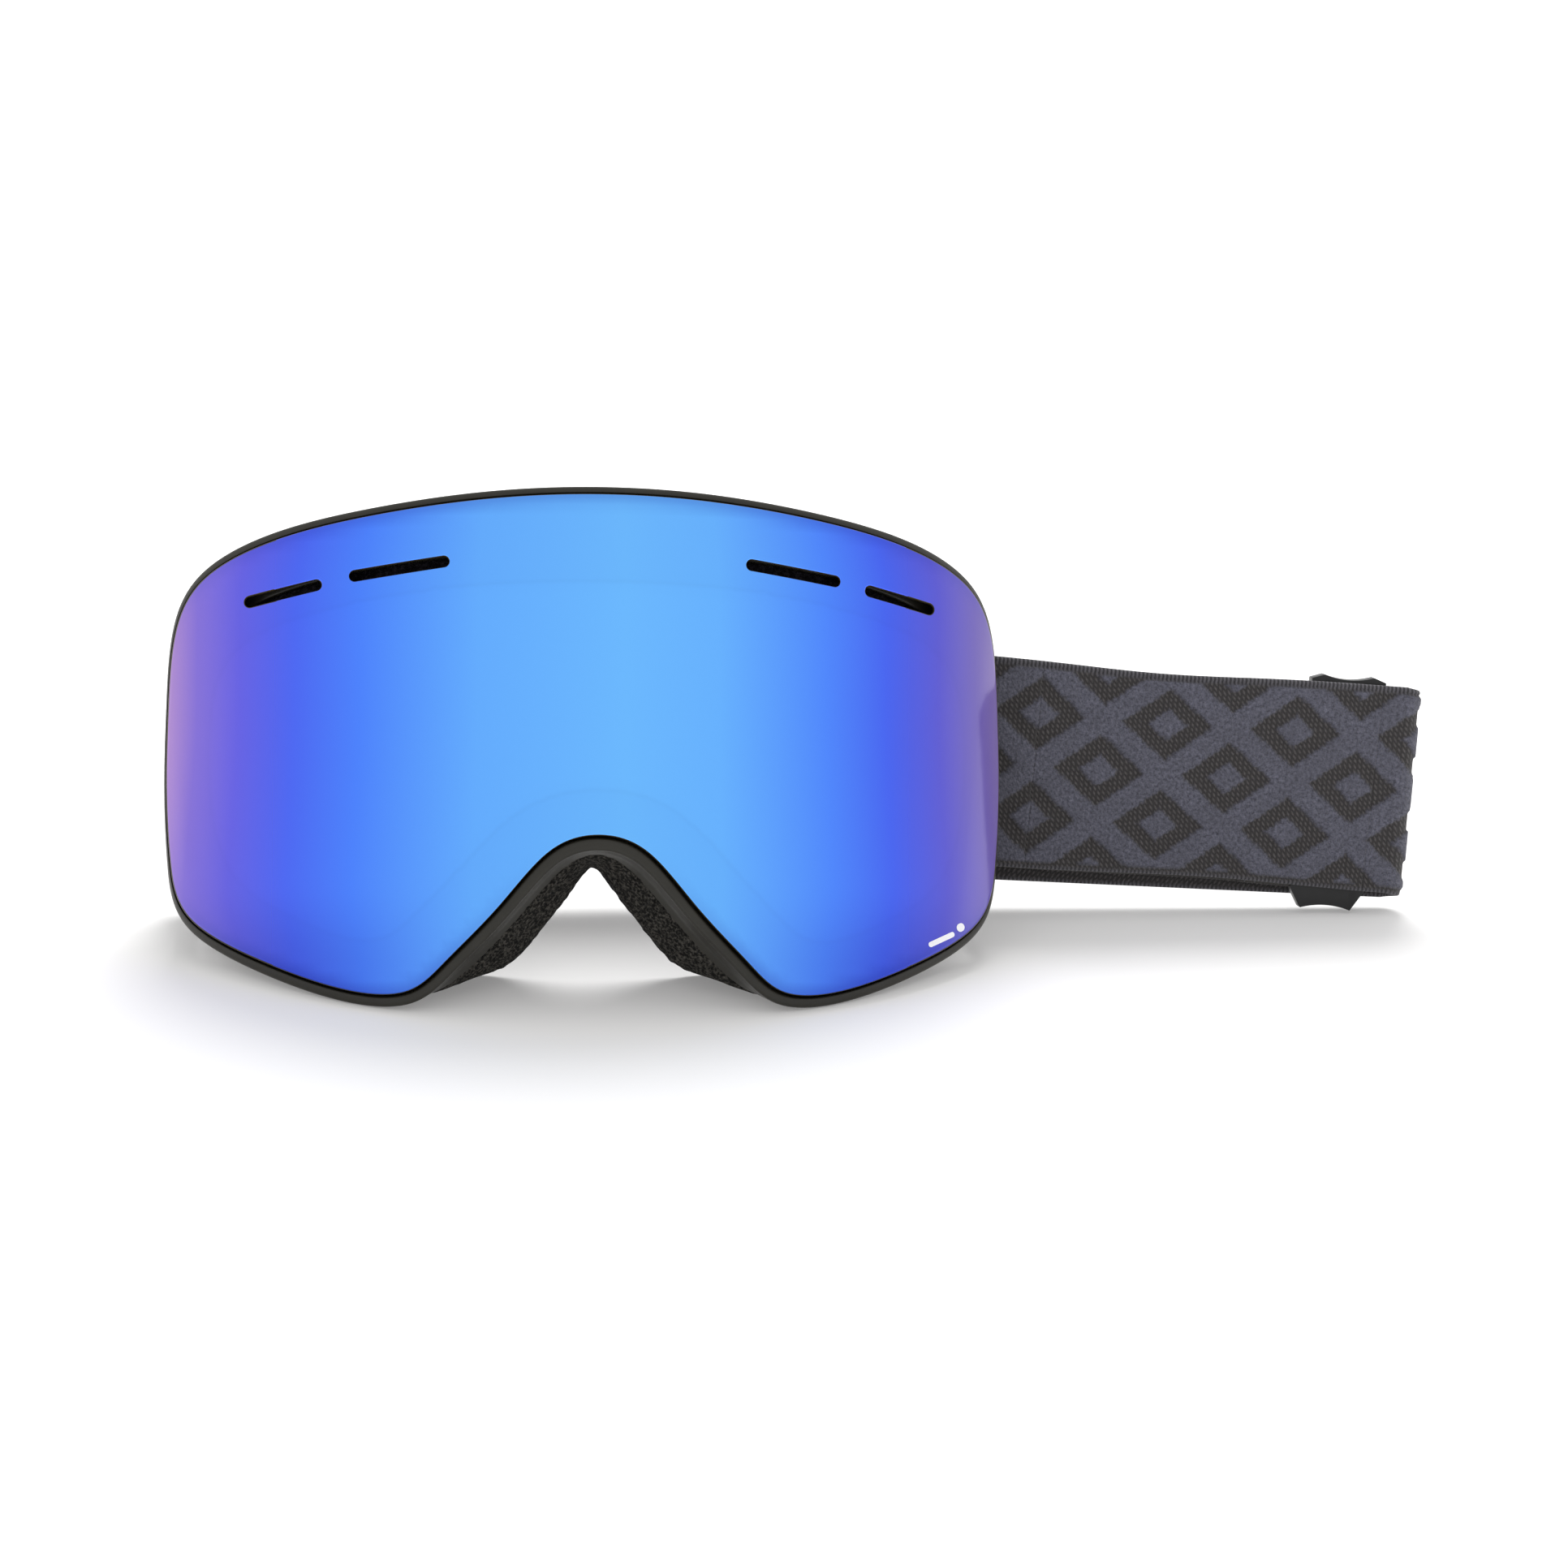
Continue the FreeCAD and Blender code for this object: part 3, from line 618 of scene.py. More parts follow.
def webbing_face():
    """Outer face of the strap: a warm grey twill ground with a raised blue-grey pile."""
    ground, ground_light = (0.022, 0.020, 0.020), (0.088, 0.079, 0.079)
    pile, pile_light = (0.034, 0.034, 0.048), (0.145, 0.145, 0.190)
    finish = Finish("webbing", ground, 0.92, Sheen_Weight=0.12, Sheen_Roughness=0.4)
    diagonal = finish.waves(0.55, "DIAGONAL", "strap_at", 1.2)
    threads = finish.noise(2.2, 2.0, 0.6, "strap_at")
    dashes = finish.blended(finish.waves(0.30, "X", "strap_at", 2.5), (0.1, 0.1, 0.1), diagonal)
    twill = finish.ranged(finish.blended(threads, (0.0, 0.0, 0.0), dashes), 0.02, 0.5, 0.0, 1.0)
    cross = finish.waves(0.36, "X", "strap_at", 0.4)
    fuzz = finish.noise(1.25, 6.0, 0.85, "strap_at")
    patch = finish.noise(0.16, 3.0, 0.6, "strap_at")
    low = finish.blended(twill, ground, ground_light)
    high = finish.blended(finish.ranged(fuzz, 0.38, 0.62, 0.0, 1.0), pile, pile_light)
    high = finish.blended(finish.ranged(patch, 0.35, 0.7, 0.0, 0.35), high, (0.052, 0.051, 0.066))
    selvedge = finish.blended(cross, (0.022, 0.021, 0.024), (0.105, 0.100, 0.112))
    colour = finish.blended(finish.value("pile"), low, high)
    finish.colour_from(finish.blended(finish.value("selvedge"), colour, selvedge))
    finish.bump(twill, 0.7, 0.25)
    finish.bump(cross, 0.3, 0.12)
    finish.bump(fuzz, 0.8, 0.4)
    return finish.material


def webbing_plain(name, dark, light):
    """Plain elastic webbing with lengthwise ribs."""
    finish = Finish(name, dark, 0.9, Sheen_Weight=0.12, Sheen_Roughness=0.4)
    ribs = finish.waves(0.30, "Y", "strap_at", 0.5)
    picks = finish.waves(0.42, "X", "strap_at", 0.4)
    fuzz = finish.noise(2.2, 5.0, 0.75, "strap_at")
    finish.colour_from(finish.blended(ribs, finish.blended(fuzz, dark, light), dark))
    finish.bump(ribs, 0.6, 0.25)
    finish.bump(picks, 0.5, 0.16)
    finish.bump(fuzz, 0.4, 0.12)
    return finish.material


mirror = lens_mirror()
# name, the two colours, roughness, patches, grain, strength and depth of the relief
edge_tint = mottled("lens_edge", (0.060, 0.038, 0.014), (0.028, 0.030, 0.014), 0.45, 60.0, 700.0,
                    (0.15, 0.03), Specular_IOR_Level=0.25)
tint = mottled("lens_body", (0.03, 0.025, 0.04), (0.05, 0.04, 0.06), 0.06, 9.0, 14.0, (0.05, 0.02), 2.0,
               Coat_Weight=0.5, Coat_Roughness=0.04)
thread_dark = mottled("thread", (0.04, 0.04, 0.045), (0.11, 0.11, 0.12), 0.7, 1500.0, 2500.0, (0.5, 0.06),
                      Sheen_Weight=0.2)
rubber = mottled("silicone", (0.07, 0.07, 0.08), (0.13, 0.13, 0.145), 0.34, 220.0, 600.0, (0.2, 0.05),
                 Coat_Weight=0.25)
ink = mottled("print_ink", (0.80, 0.80, 0.83), (0.92, 0.92, 0.94), 0.4, 900.0, 1500.0, (0.1, 0.02))
# name, colour, lighter colour, roughness, grain, depth of the grain
frame_black = plastic("frame_plastic", (0.012, 0.011, 0.008), (0.024, 0.022, 0.016), 0.36, 700.0, 0.025)
bracket_black = plastic("bracket_plastic", (0.012, 0.012, 0.012), (0.026, 0.026, 0.026), 0.46, 900.0,
                        0.04)
slider_black = plastic("slider_plastic", (0.006, 0.006, 0.006), (0.014, 0.014, 0.015), 0.33, 800.0, 0.03)
carrier_black = plastic("carrier_plastic", (0.016, 0.016, 0.018), (0.030, 0.030, 0.034), 0.5, 800.0,
                        0.03)
# name, colour of the hollows, dark with painted shade, colour of the cell rims, cells, depth of the cells
foam_black = foam("seal_foam", (0.004, 0.004, 0.0035), (0.070, 0.065, 0.057), 1350.0, 0.7)
foam_soft = foam("seal_foam_soft", (0.004, 0.004, 0.005), (0.060, 0.058, 0.060), 1500.0, 0.7)
vent_black = foam("vent_foam", (0.004, 0.003, 0.005), (0.024, 0.021, 0.028), 900.0, 0.6)
spacer_grey = foam("spacer_foam", (0.014, 0.014, 0.015), (0.05, 0.05, 0.055), 1600.0, 0.35)
fleece_black = fleece_cloth("fleece", (0.002, 0.002, 0.002), (0.026, 0.025, 0.027))
steel = metal("bar_steel", (0.42, 0.42, 0.43), 0.3)
magnet = metal("magnet_metal", (0.62, 0.62, 0.60), 0.26)
strap_cloth = webbing_face()
strap_inner = webbing_plain("webbing_inner", (0.030, 0.027, 0.026), (0.085, 0.080, 0.078))


def dressed(obj, material, body, replaced=()):
    """Gives a piece its material and body, and hides the CAD nodes it replaces."""
    obj.data.materials.clear()
    obj.data.materials.append(material)
    if body:
        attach(obj, body)
    if replaced:
        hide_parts(*replaced)
    return obj


# ---------------------------------------------------------------- lens assembly

slot_lines = []
for start, end in SLOTS:
    slot_lines.append(slot_line(start, end, SLOT_HEIGHT))
    slot_lines.append(slot_lines[-1] * np.array([-1, 1]))

outer_lens = face_plate("mirror_lens", lens_line, slot_lines, 0.0, LENS_THICKNESS, bevel=0.35, spacing=1.4)
lens_points = to_mask(coordinates(outer_lens))
lens_x, _, lens_z = lens_points.T
lens_depth = lens_points[:, 1] - lens_y(lens_x)
flat_points = lens_points[:, (0, 2)]

low_lobe = 1 - eased(lens_z, 4, 24)
high_brow = eased(lens_z, 82, 100)
low_half = 1 - eased(lens_z, 10, 60)
# painted reflection: the coating's colour runs across the lens by x, shifted a little at the low lobes, the
# brow and the lower half
coating_and_reflection_hue = lens_x * (1 - 0.035 * low_half + 0.05 * low_lobe + 0.06 * high_brow) / LENS_HALF
point_values(outer_lens, "coating_and_reflection_hue", np.clip(coating_and_reflection_hue, -1, 1))
point_values(outer_lens, "gasket_gap", gap_to(gasket_line, flat_points))
to_edge = -gap_to(lens_line, flat_points)
border = 0.35 * (1 - eased(to_edge, 0.3, 3.0)) * eased(np.abs(lens_z - 50), 20, 50)
lobes = 0.45 * low_lobe * eased(np.abs(lens_x), 20, 75)
point_values(outer_lens, "edge_shade", border + lobes)
point_values(outer_lens, "side_turn", eased(np.abs(lens_x), 58, 80))
dressed(outer_lens, mirror, "lens", ["outer_lens"])
outer_lens.data.materials.append(edge_tint)
outer_lens.data.materials.append(tint)
for polygon in outer_lens.data.polygons:
    depth = np.mean([lens_depth[v] for v in polygon.vertices])
    if depth > LENS_THICKNESS - 0.1:
        polygon.material_index = 2
    elif depth > 0.08:
        polygon.material_index = 1

inner_lens = face_plate("clear_inner_lens", grown(gasket_line, -0.1), [], *INNER_LENS_DEPTHS,
                        bevel=0.2, spacing=2.4)
dressed(inner_lens, tint, "lens", ["inner_lens"])

spacer_front, spacer_back = (behind_lens(depth) for depth in SPACER_DEPTHS)
spacer_line = mix(gasket_line, seal_in, 0.35)
spacer = band("spacer_band", [
    (gasket_line, spacer_front), (gasket_line, spacer_back),
    (spacer_line, spacer_back), (spacer_line, spacer_front),
], side_steps=4)
roughen(spacer, 0.06, 3.0)
dressed(spacer, spacer_grey, "lens", ["lens_spacer"])

for node, material in (("lens_carrier", carrier_black), ("lens_magnets", magnet), ("frame_magnets", magnet)):
    materials = frame["nodes"][node].data.materials
    materials.clear()
    materials.append(material)

MARK_BAR = ((69.5, 11.2), (74.5, 13.4))
MARK_DISC = ((76.4, 14.9), (76.6, 15.0))
PRINT_DEPTHS = (-0.05, 0.02)
for name, ends, height in (("bar", MARK_BAR, 1.1), ("disc", MARK_DISC, 1.7)):
    mark = face_plate("lens_mark_" + name, slot_line(*ends, height), [], *PRINT_DEPTHS,
                      bevel=0.02, spacing=1.0, support=0.02)
    dressed(mark, ink, "lens")


# ---------------------------------------------------------------- frame

outer_rim = grown(rim_line, 0.2)
lens_gap_line = grown(lens_line, 0.12)
seal_back_line = mix(seal_out, seal_in, 0.85)
rim_top, rim_front, rim_back = RIM_DEPTHS
flange_front, flange_back = FLANGE_DEPTHS
face_frame = band("moulded_frame", [
    (outer_rim, behind_lens(rim_back)),
    (mix(rim_line, seal_out, 0.12), behind_lens(flange_back, WALL_RISE)),
    (seal_out, seal_seat),
    (seal_back_line, seal_seat),
    (seal_back_line, lambda x: seal_seat(x) - SEAT_THICKNESS),
    (mix(seal_out, seal_in, 0.2), lambda x: seal_seat(x) - SEAT_THICKNESS),
    (mix(rim_line, gasket_line, 0.22), behind_lens(flange_back)),
    (mix(rim_line, gasket_line, 0.66), behind_lens(flange_back)),
    (mix(rim_line, gasket_line, 0.66), behind_lens(flange_front)),
    (mix(lens_gap_line, outer_rim, 0.05), behind_lens(flange_front)),
    (mix(lens_gap_line, outer_rim, 0.1), behind_lens(rim_top)),
    (outer_rim, behind_lens(rim_front)),
], radius=0.7, side_steps=5)
cutters = []
BOX_FACES = [(0, 1, 3, 2), (4, 6, 7, 5), (0, 4, 5, 1), (2, 3, 7, 6), (0, 2, 6, 4), (1, 5, 7, 3)]
for x_low, x_high, z_low, z_high in VENTS:
    for side in (-1, 1):
        front = lens_y(x_high, flange_back) + 2.0
        back = seal_seat(x_low) - 2.2
        corners = [(side * x, y, z) for x in (x_low, x_high) for y in (front, back) for z in (z_low, z_high)]
        cutters.append(new_object("vent_cutter", to_world(corners), BOX_FACES, False))
for cutter in cutters:
    cut = face_frame.modifiers.new("vent", "BOOLEAN")
    cut.operation = "DIFFERENCE"
    cut.solver = "EXACT"
    cut.object = cutter
settled(face_frame)
for cutter in cutters:
    bpy.data.objects.remove(cutter)
face_frame.data.set_sharp_from_angle(angle=math.radians(50))
dressed(face_frame, frame_black, "mask_frame", ["face_frame"])

wall_foam = band("wall_vent_foam", [
    (mix(seal_out, seal_in, 0.23), lambda x: seal_seat(x) - 1.9),
    (mix(rim_line, gasket_line, 0.32), behind_lens(5.6, 0.6)),
    (mix(rim_line, gasket_line, 0.40), behind_lens(5.6, 0.6)),
    (mix(seal_out, seal_in, 0.34), lambda x: seal_seat(x) - 1.9),
], radius=0.4, side_steps=5)
roughen(wall_foam, 0.15, 2.4)
dressed(wall_foam, vent_black, "mask_frame")

brow_foam = finished_copy("top_vent_foam", "brow_vent_foam", 0.3)
remesh = brow_foam.modifiers.new("cells", "REMESH")
remesh.mode = "VOXEL"
remesh.voxel_size = 0.55 * MM
settled(brow_foam)
for polygon in brow_foam.data.polygons:
    polygon.use_smooth = True
roughen(brow_foam, 0.16, 2.2)
dressed(brow_foam, vent_black, "mask_frame", ["top_vent_foam"])


def seal_band(name, back, front, outer, inner, bulge, radius):
    """One layer of the face seal, with sides that swell out a little.

    back and front are distances from the face side. outer and inner are shares of the way from the
    seal's outer line to its inner one."""
    middle = (front + back) / 2
    out_line = mix(seal_out, seal_in, outer)
    in_line = mix(seal_out, seal_in, inner)
    return band(name, [
        (out_line, lambda x: face_y(x) - front), (grown(out_line, bulge), lambda x: face_y(x) - middle),
        (out_line, lambda x: face_y(x) - back), (in_line, lambda x: face_y(x) - back),
        (grown(in_line, -bulge), lambda x: face_y(x) - middle), (in_line, lambda x: face_y(x) - front),
    ], radius, 7)


base_foam = seal_band("seal_foam_base", back=5.75, front=13.45, outer=0.035, inner=0.90,
                      bulge=0.35, radius=1.1)
roughen(base_foam, 0.12, 4.0)
roughen(base_foam, 0.07, 1.6)
dressed(base_foam, foam_black, "mask_frame", ["foam_base"])
middle_foam = seal_band("seal_foam_middle", back=1.9, front=5.6, outer=0.02, inner=0.95,
                        bulge=0.45, radius=1.0)
roughen(middle_foam, 0.12, 4.0)
roughen(middle_foam, 0.05, 1.4)
dressed(middle_foam, foam_soft, "mask_frame", ["foam_middle"])
fleece = seal_band("seal_fleece", back=0.0, front=1.8, outer=0.03, inner=1.0, bulge=0.25, radius=0.7)
roughen(fleece, 0.12, 6.0)
dressed(fleece, fleece_black, "mask_frame", ["face_fleece"])

NOSE_REACH = 118             # outline steps covered to each side of the nose arch
NOSE_TAPER = 26              # over so many of them the foam sinks into the frame at its ends
NOSE_SINK = 0.25
NOSE_SECTION = [             # share of the way along the side wall, and height above it
    (0.16, -0.3), (0.22, 0.15), (0.3, 0.38), (0.42, 0.5), (0.56, 0.55), (0.7, 0.55), (0.84, 0.55),
    (0.98, 0.5), (1.06, 0.2), (1.06, -0.5), (0.6, -0.5),
]


def nose_cover():
    """Foam that lines the nose arch between the flange and the seal."""
    middle = OUTLINE_STEPS // 2
    steps = np.arange(middle - NOSE_REACH, middle + NOSE_REACH + 1)
    taper = eased(NOSE_REACH - np.abs(steps - middle), 0, NOSE_TAPER)
    wall_front = mix(rim_line, seal_out, 0.12)
    depth_front = lens_y(wall_front[steps, 0], flange_back) + WALL_RISE
    depth_back = seal_seat(seal_out[steps, 0])
    rows = []
    for t, rise in NOSE_SECTION:
        line = mix(wall_front, seal_out, t)
        outwards = grown(line, 1.0) - line
        height = rise * taper - NOSE_SINK * (1 - taper)
        flat = line[steps] + outwards[steps] * height[:, None]
        rows.append(np.stack([flat[:, 0], mix(depth_front, depth_back, t), flat[:, 1]], 1))
    count = len(rows)
    length = len(steps)
    starts = [i * length for i in range(count)]
    faces = []
    for a, b in zip(starts, starts[1:] + starts[:1]):
        faces += [(a + j, a + j + 1, b + j + 1, b + j) for j in range(length - 1)]
    faces.append(tuple(starts))
    faces.append(tuple(start + length - 1 for start in starts))
    return new_object("nose_foam", to_world(np.concatenate(rows)), faces)


nose_foam = nose_cover()
roughen(nose_foam, 0.06, 1.8)
dressed(nose_foam, foam_black, "mask_frame")

for side in ("left", "right"):
    bracket = finished_copy("bracket_" + side, side + "_bracket", 0.45)
    dressed(bracket, bracket_black, "mask_frame", ["bracket_" + side])
    bar = finished_copy("strap_bar_" + side, side + "_strap_bar", 0.3)
    dressed(bar, steel, "mask_frame", ["strap_bar_" + side])


# ---------------------------------------------------------------- strap

def joint_place(name):
    """Where a joint is, in millimetres."""
    return np.array(joints[name]["pos_m"], float) / MM


def metres(place):
    return tuple(np.asarray(place) * MM)


POST = joint_place("strap_left_swing")
FOLD = joint_place("strap_fold")
KNEE = joint_place("strap_knee")
RIGHT_POST = POST * np.array([-1, 1, 1])
BACK_START = FOLD - np.array([0, 0, BACK_DROP])


def unit(vector):
    return vector / np.linalg.norm(vector)


class Leaf:
    """A straight run of strap: its start, its run, and its directions along, across and back."""

    def __init__(self, start, end):
        self.start = start
        self.length = np.linalg.norm(end - start)
        self.along = unit(end - start)
        upright = np.array([0, math.sin(STRAP_LEAN), math.cos(STRAP_LEAN)])
        self.across = unit(upright - self.along * (upright @ self.along))
        self.back = np.cross(self.across, self.along)

    def at(self, s, n, w=0.0):
        """A point along, behind and across the leaf."""
        return self.start + self.along * s + self.back * n + self.across * w


left_leaf = Leaf(POST, FOLD)
back_leaf = Leaf(BACK_START, KNEE)
right_leaf = Leaf(RIGHT_POST, KNEE)
TURN_LENGTH = math.pi * LEAF_OFFSET
WRAP_LENGTH = math.pi * ROOT_OFFSET
FOLD_AT = left_leaf.length
BACK_AT = FOLD_AT + TURN_LENGTH
KNEE_AT = BACK_AT + back_leaf.length
STRAP_END = KNEE_AT + right_leaf.length


def root_offset(s, length):
    """Distance of the webbing from the line between the pivots, which grows from the bar."""
    return mix(ROOT_OFFSET, LEAF_OFFSET, min(max(s / length, 0), 1))


def left_place(sigma):
    """Middle, outward and across directions on the left leaf, or on its wrap round the bar below zero."""
    leaf = left_leaf
    if sigma >= 0:
        return leaf.at(sigma, -root_offset(sigma, leaf.length)), -leaf.back, leaf.across
    if sigma >= -WRAP_LENGTH:
        angle = -sigma / ROOT_OFFSET
        out = -leaf.back * math.cos(angle) - leaf.along * math.sin(angle)
        drop = RETURN_DROP * angle / math.pi
        return leaf.start + out * ROOT_OFFSET - leaf.across * drop, out, leaf.across
    s = -sigma - WRAP_LENGTH
    return leaf.at(s, ROOT_OFFSET, -RETURN_DROP), leaf.back, leaf.across


def back_place(sigma):
    s = sigma - BACK_AT
    return back_leaf.at(s, -LEAF_OFFSET), -back_leaf.back, back_leaf.across


def right_place(sigma):
    s = right_leaf.length - (sigma - KNEE_AT)
    offset = root_offset(s, right_leaf.length)
    pinch = RIGHT_PINCH * (1 - float(eased(s, *PINCH_RANGE)))
    return right_leaf.at(s, offset - pinch), right_leaf.back, right_leaf.across


def strap_place(sigma):
    """Middle, outward and across directions anywhere along the strap.

    sigma runs from the left bar round the fold, behind the mask and back to the right bar."""
    if sigma <= FOLD_AT:
        return left_place(sigma)
    if sigma < BACK_AT:
        share = (sigma - FOLD_AT) / TURN_LENGTH
        angle = math.pi * (share - 0.5)
        centre = mix(FOLD, BACK_START, share)
        ahead = unit(mix(left_leaf.along, -back_leaf.along, share))
        behind = unit(mix(left_leaf.back, -back_leaf.back, share))
        out = ahead * math.cos(angle) + behind * math.sin(angle)
        return centre + out * LEAF_OFFSET, out, unit(mix(left_leaf.across, back_leaf.across, share))
    if sigma < KNEE_AT - KNEE_EASE:
        return back_place(sigma)
    if sigma > KNEE_AT + KNEE_EASE:
        return right_place(sigma)
    share = float(eased(sigma, KNEE_AT - KNEE_EASE, KNEE_AT + KNEE_EASE))
    return tuple(mix(a, b, share) for a, b in zip(back_place(sigma), right_place(sigma)))


def trellis(sigma, w):
    """Height share of the raised pile: bold crossing bands with a small lozenge in each opening."""
    pitch = 22.5
    stretch = 1.25
    band_half = 3.3
    soft = 0.5
    lozenge_half = (3.0, 3.9)
    hem = 1.6
    uneven = 0.22 * np.sin(sigma * 3.1 + w * 2.3) + 0.16 * np.sin(sigma * 1.7 - w * 4.1)
    rising = np.abs((sigma / stretch + w) / pitch % 1 - 0.5) * pitch + uneven
    falling = np.abs((sigma / stretch - w) / pitch % 1 - 0.5) * pitch + uneven
    bands = np.maximum(1 - eased(rising, band_half - soft, band_half + soft),
                       1 - eased(falling, band_half - soft, band_half + soft))
    centre_gap = np.maximum(pitch / 2 - rising, pitch / 2 - falling)
    lozenge = 1 - eased(centre_gap, *lozenge_half)
    bare = eased(STRAP_WIDTH / 2 - hem - np.abs(w), -0.3, 0.3)
    return np.maximum(bands, lozenge) * bare


def waist(sigma, w):
    """The strap draws in a little between the bar and the slider."""
    half = STRAP_WIDTH / 2
    top = half - 1.1 * np.exp(-((sigma - 40) / 24) ** 2)
    bottom = -half + 0.9 * np.exp(-((sigma - 55) / 25) ** 2)
    return mix(bottom, top, (w + half) / STRAP_WIDTH)


def strap_section(step, thickness):
    """Section of the webbing: pattern side, piped top, plain side and flat bottom.

    Each point is (across, through, on the face, on the selvedge)."""
    half = STRAP_WIDTH / 2
    thin = thickness / 2
    pipe = thin * 0.78
    outer = [(w, thin, 1.0, 0.0) for w in np.arange(-half + 1.2, half - 1.4, step)]
    top = [(half - pipe + pipe * math.sin(a), thin - pipe + 0.14 + pipe * math.cos(a), 0.0, 1.0)
           for a in np.linspace(-0.9, 2.6, 9)]
    inner = [(w, -thin, 0.0, 0.0) for w in np.linspace(half - 1.4, -half + 1.2, 30)]
    bottom = [(-half + 0.45 - 0.45 * math.sin(a), -(thin - 0.1) * math.cos(a), 0.0, 1.0)
              for a in np.linspace(0.1, math.pi - 0.1, 7)]
    return outer + top + inner + bottom


def webbing(name, start, end, step, place=strap_place, patterned=True, thickness=WEBBING):
    """A closed length of webbing between two stations, with its relief and material coordinates."""
    section = np.array(strap_section(FINE if patterned else PLAIN_STEP, thickness))
    stations = np.linspace(start, end, max(3, int(round(abs(end - start) / step)) + 1))
    w, t, face, edge = section.T
    vertices, at, pile = [], [], []
    for sigma in stations:
        middle, out, across = place(sigma)
        height = trellis(sigma, w) * face if patterned else np.zeros(len(w))
        sideways = waist(sigma, w)
        vertices.append(middle + across * sideways[:, None] + out * (t + PILE_HEIGHT * height)[:, None])
        at.append(np.stack([np.full(len(w), sigma), w, t], 1))
        pile.append(height)
    count = len(w)
    mesh = bpy.data.meshes.new(name)
    mesh.from_pydata([tuple(v) for v in np.concatenate(vertices) * MM], [], swept_faces(len(stations), count))
    obj = linked(name, mesh)
    work = bmesh.new()
    work.from_mesh(mesh)
    bmesh.ops.recalc_face_normals(work, faces=work.faces)
    work.to_mesh(mesh)
    work.free()
    for polygon in mesh.polygons:
        polygon.use_smooth = len(polygon.vertices) == 4
    point_values(obj, "strap_at", np.concatenate(at))
    point_values(obj, "pile", np.concatenate(pile))
    point_values(obj, "selvedge", np.tile(edge, len(stations)))
    return obj


left_root = webbing("strap_left_root", -WRAP_LENGTH - ROOT_REACH, ROOT_END, COARSE)
dressed(left_root, strap_cloth, None, ["strap_loop_left"])
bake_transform(left_root)

left_face = webbing("strap_left_front", ROOT_END, FOLD_AT - TURN_MARGIN, FINE)
dressed(left_face, strap_cloth, "strap_left", ["strap_left_webbing"])

fold_turn = webbing("strap_fold_turn", FOLD_AT - TURN_MARGIN, BACK_AT + TURN_MARGIN, FINE)
dressed(fold_turn, strap_cloth, None)
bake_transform(fold_turn)

back_face = webbing("strap_back_band", BACK_AT + TURN_MARGIN, KNEE_AT - KNEE_MARGIN, COARSE)
dressed(back_face, strap_cloth, "strap_back", ["strap_back_webbing"])

knee_turn = webbing("strap_knee_turn", KNEE_AT - KNEE_MARGIN, KNEE_AT + KNEE_MARGIN, COARSE)
dressed(knee_turn, strap_cloth, None)
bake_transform(knee_turn)

right_face = webbing("strap_right_front", KNEE_AT + KNEE_MARGIN, STRAP_END - RIGHT_START, COARSE)
dressed(right_face, strap_cloth, "strap_right", ["strap_right_webbing"])


def right_wrap(sigma):
    """Webbing wound round the right bar, which stays with the frame."""
    angle = sigma / ROOT_OFFSET
    out = right_leaf.back * math.cos(angle) + right_leaf.along * math.sin(angle)
    return RIGHT_POST + out * ROOT_OFFSET, out, right_leaf.across


right_loop = webbing("strap_right_wrap", 0.0, 1.999 * WRAP_LENGTH, COARSE, right_wrap, False, WRAP_WEBBING)
dressed(right_loop, strap_inner, "mask_frame", ["strap_loop_right"])


def return_place(leaf, side, sewn_end):
    """The inner layer of a leaf, from near the bar to its sewn end."""
    at_bar, at_tail = RETURN_OFFSETS

    def place(s):
        share = min(max((s - RETURN_ROOT) / (sewn_end - RETURN_ROOT), 0), 1)
        n = mix(-side * at_bar, side * at_tail, share)
        pinch = RETURN_PINCH * (1 - float(eased(s, *PINCH_RANGE))) if side > 0 else 0.0
        return leaf.at(s, n + pinch, -RETURN_DROP), -leaf.back * side, leaf.across

    return place


def tail_place(leaf, side, layer):
    """One of the two layers of the sewn end, this far from its middle."""
    n = side * RETURN_OFFSETS[1] - side * layer

    def place(s):
        return leaf.at(s, n, -RETURN_DROP), -leaf.back * side, leaf.across

    return place


def stitch_places(leaf, side, sewn_end):
    """Middle, run and outward direction of each stitch, on both faces of the sewn end."""
    places = []
    for s in STITCH_ROWS:
        for w in np.arange(-STRAP_WIDTH / 2 + 2.0, STRAP_WIDTH / 2 - 1.5, STITCH_PITCH):
            for face in (-1, 1):
                n = side * RETURN_OFFSETS[1] + face * STITCH_RISE
                middle = Vector(metres(leaf.at(sewn_end + s, n, w - RETURN_DROP)))
                places.append((middle, Vector(leaf.across), Vector(leaf.back) * face))
    return places


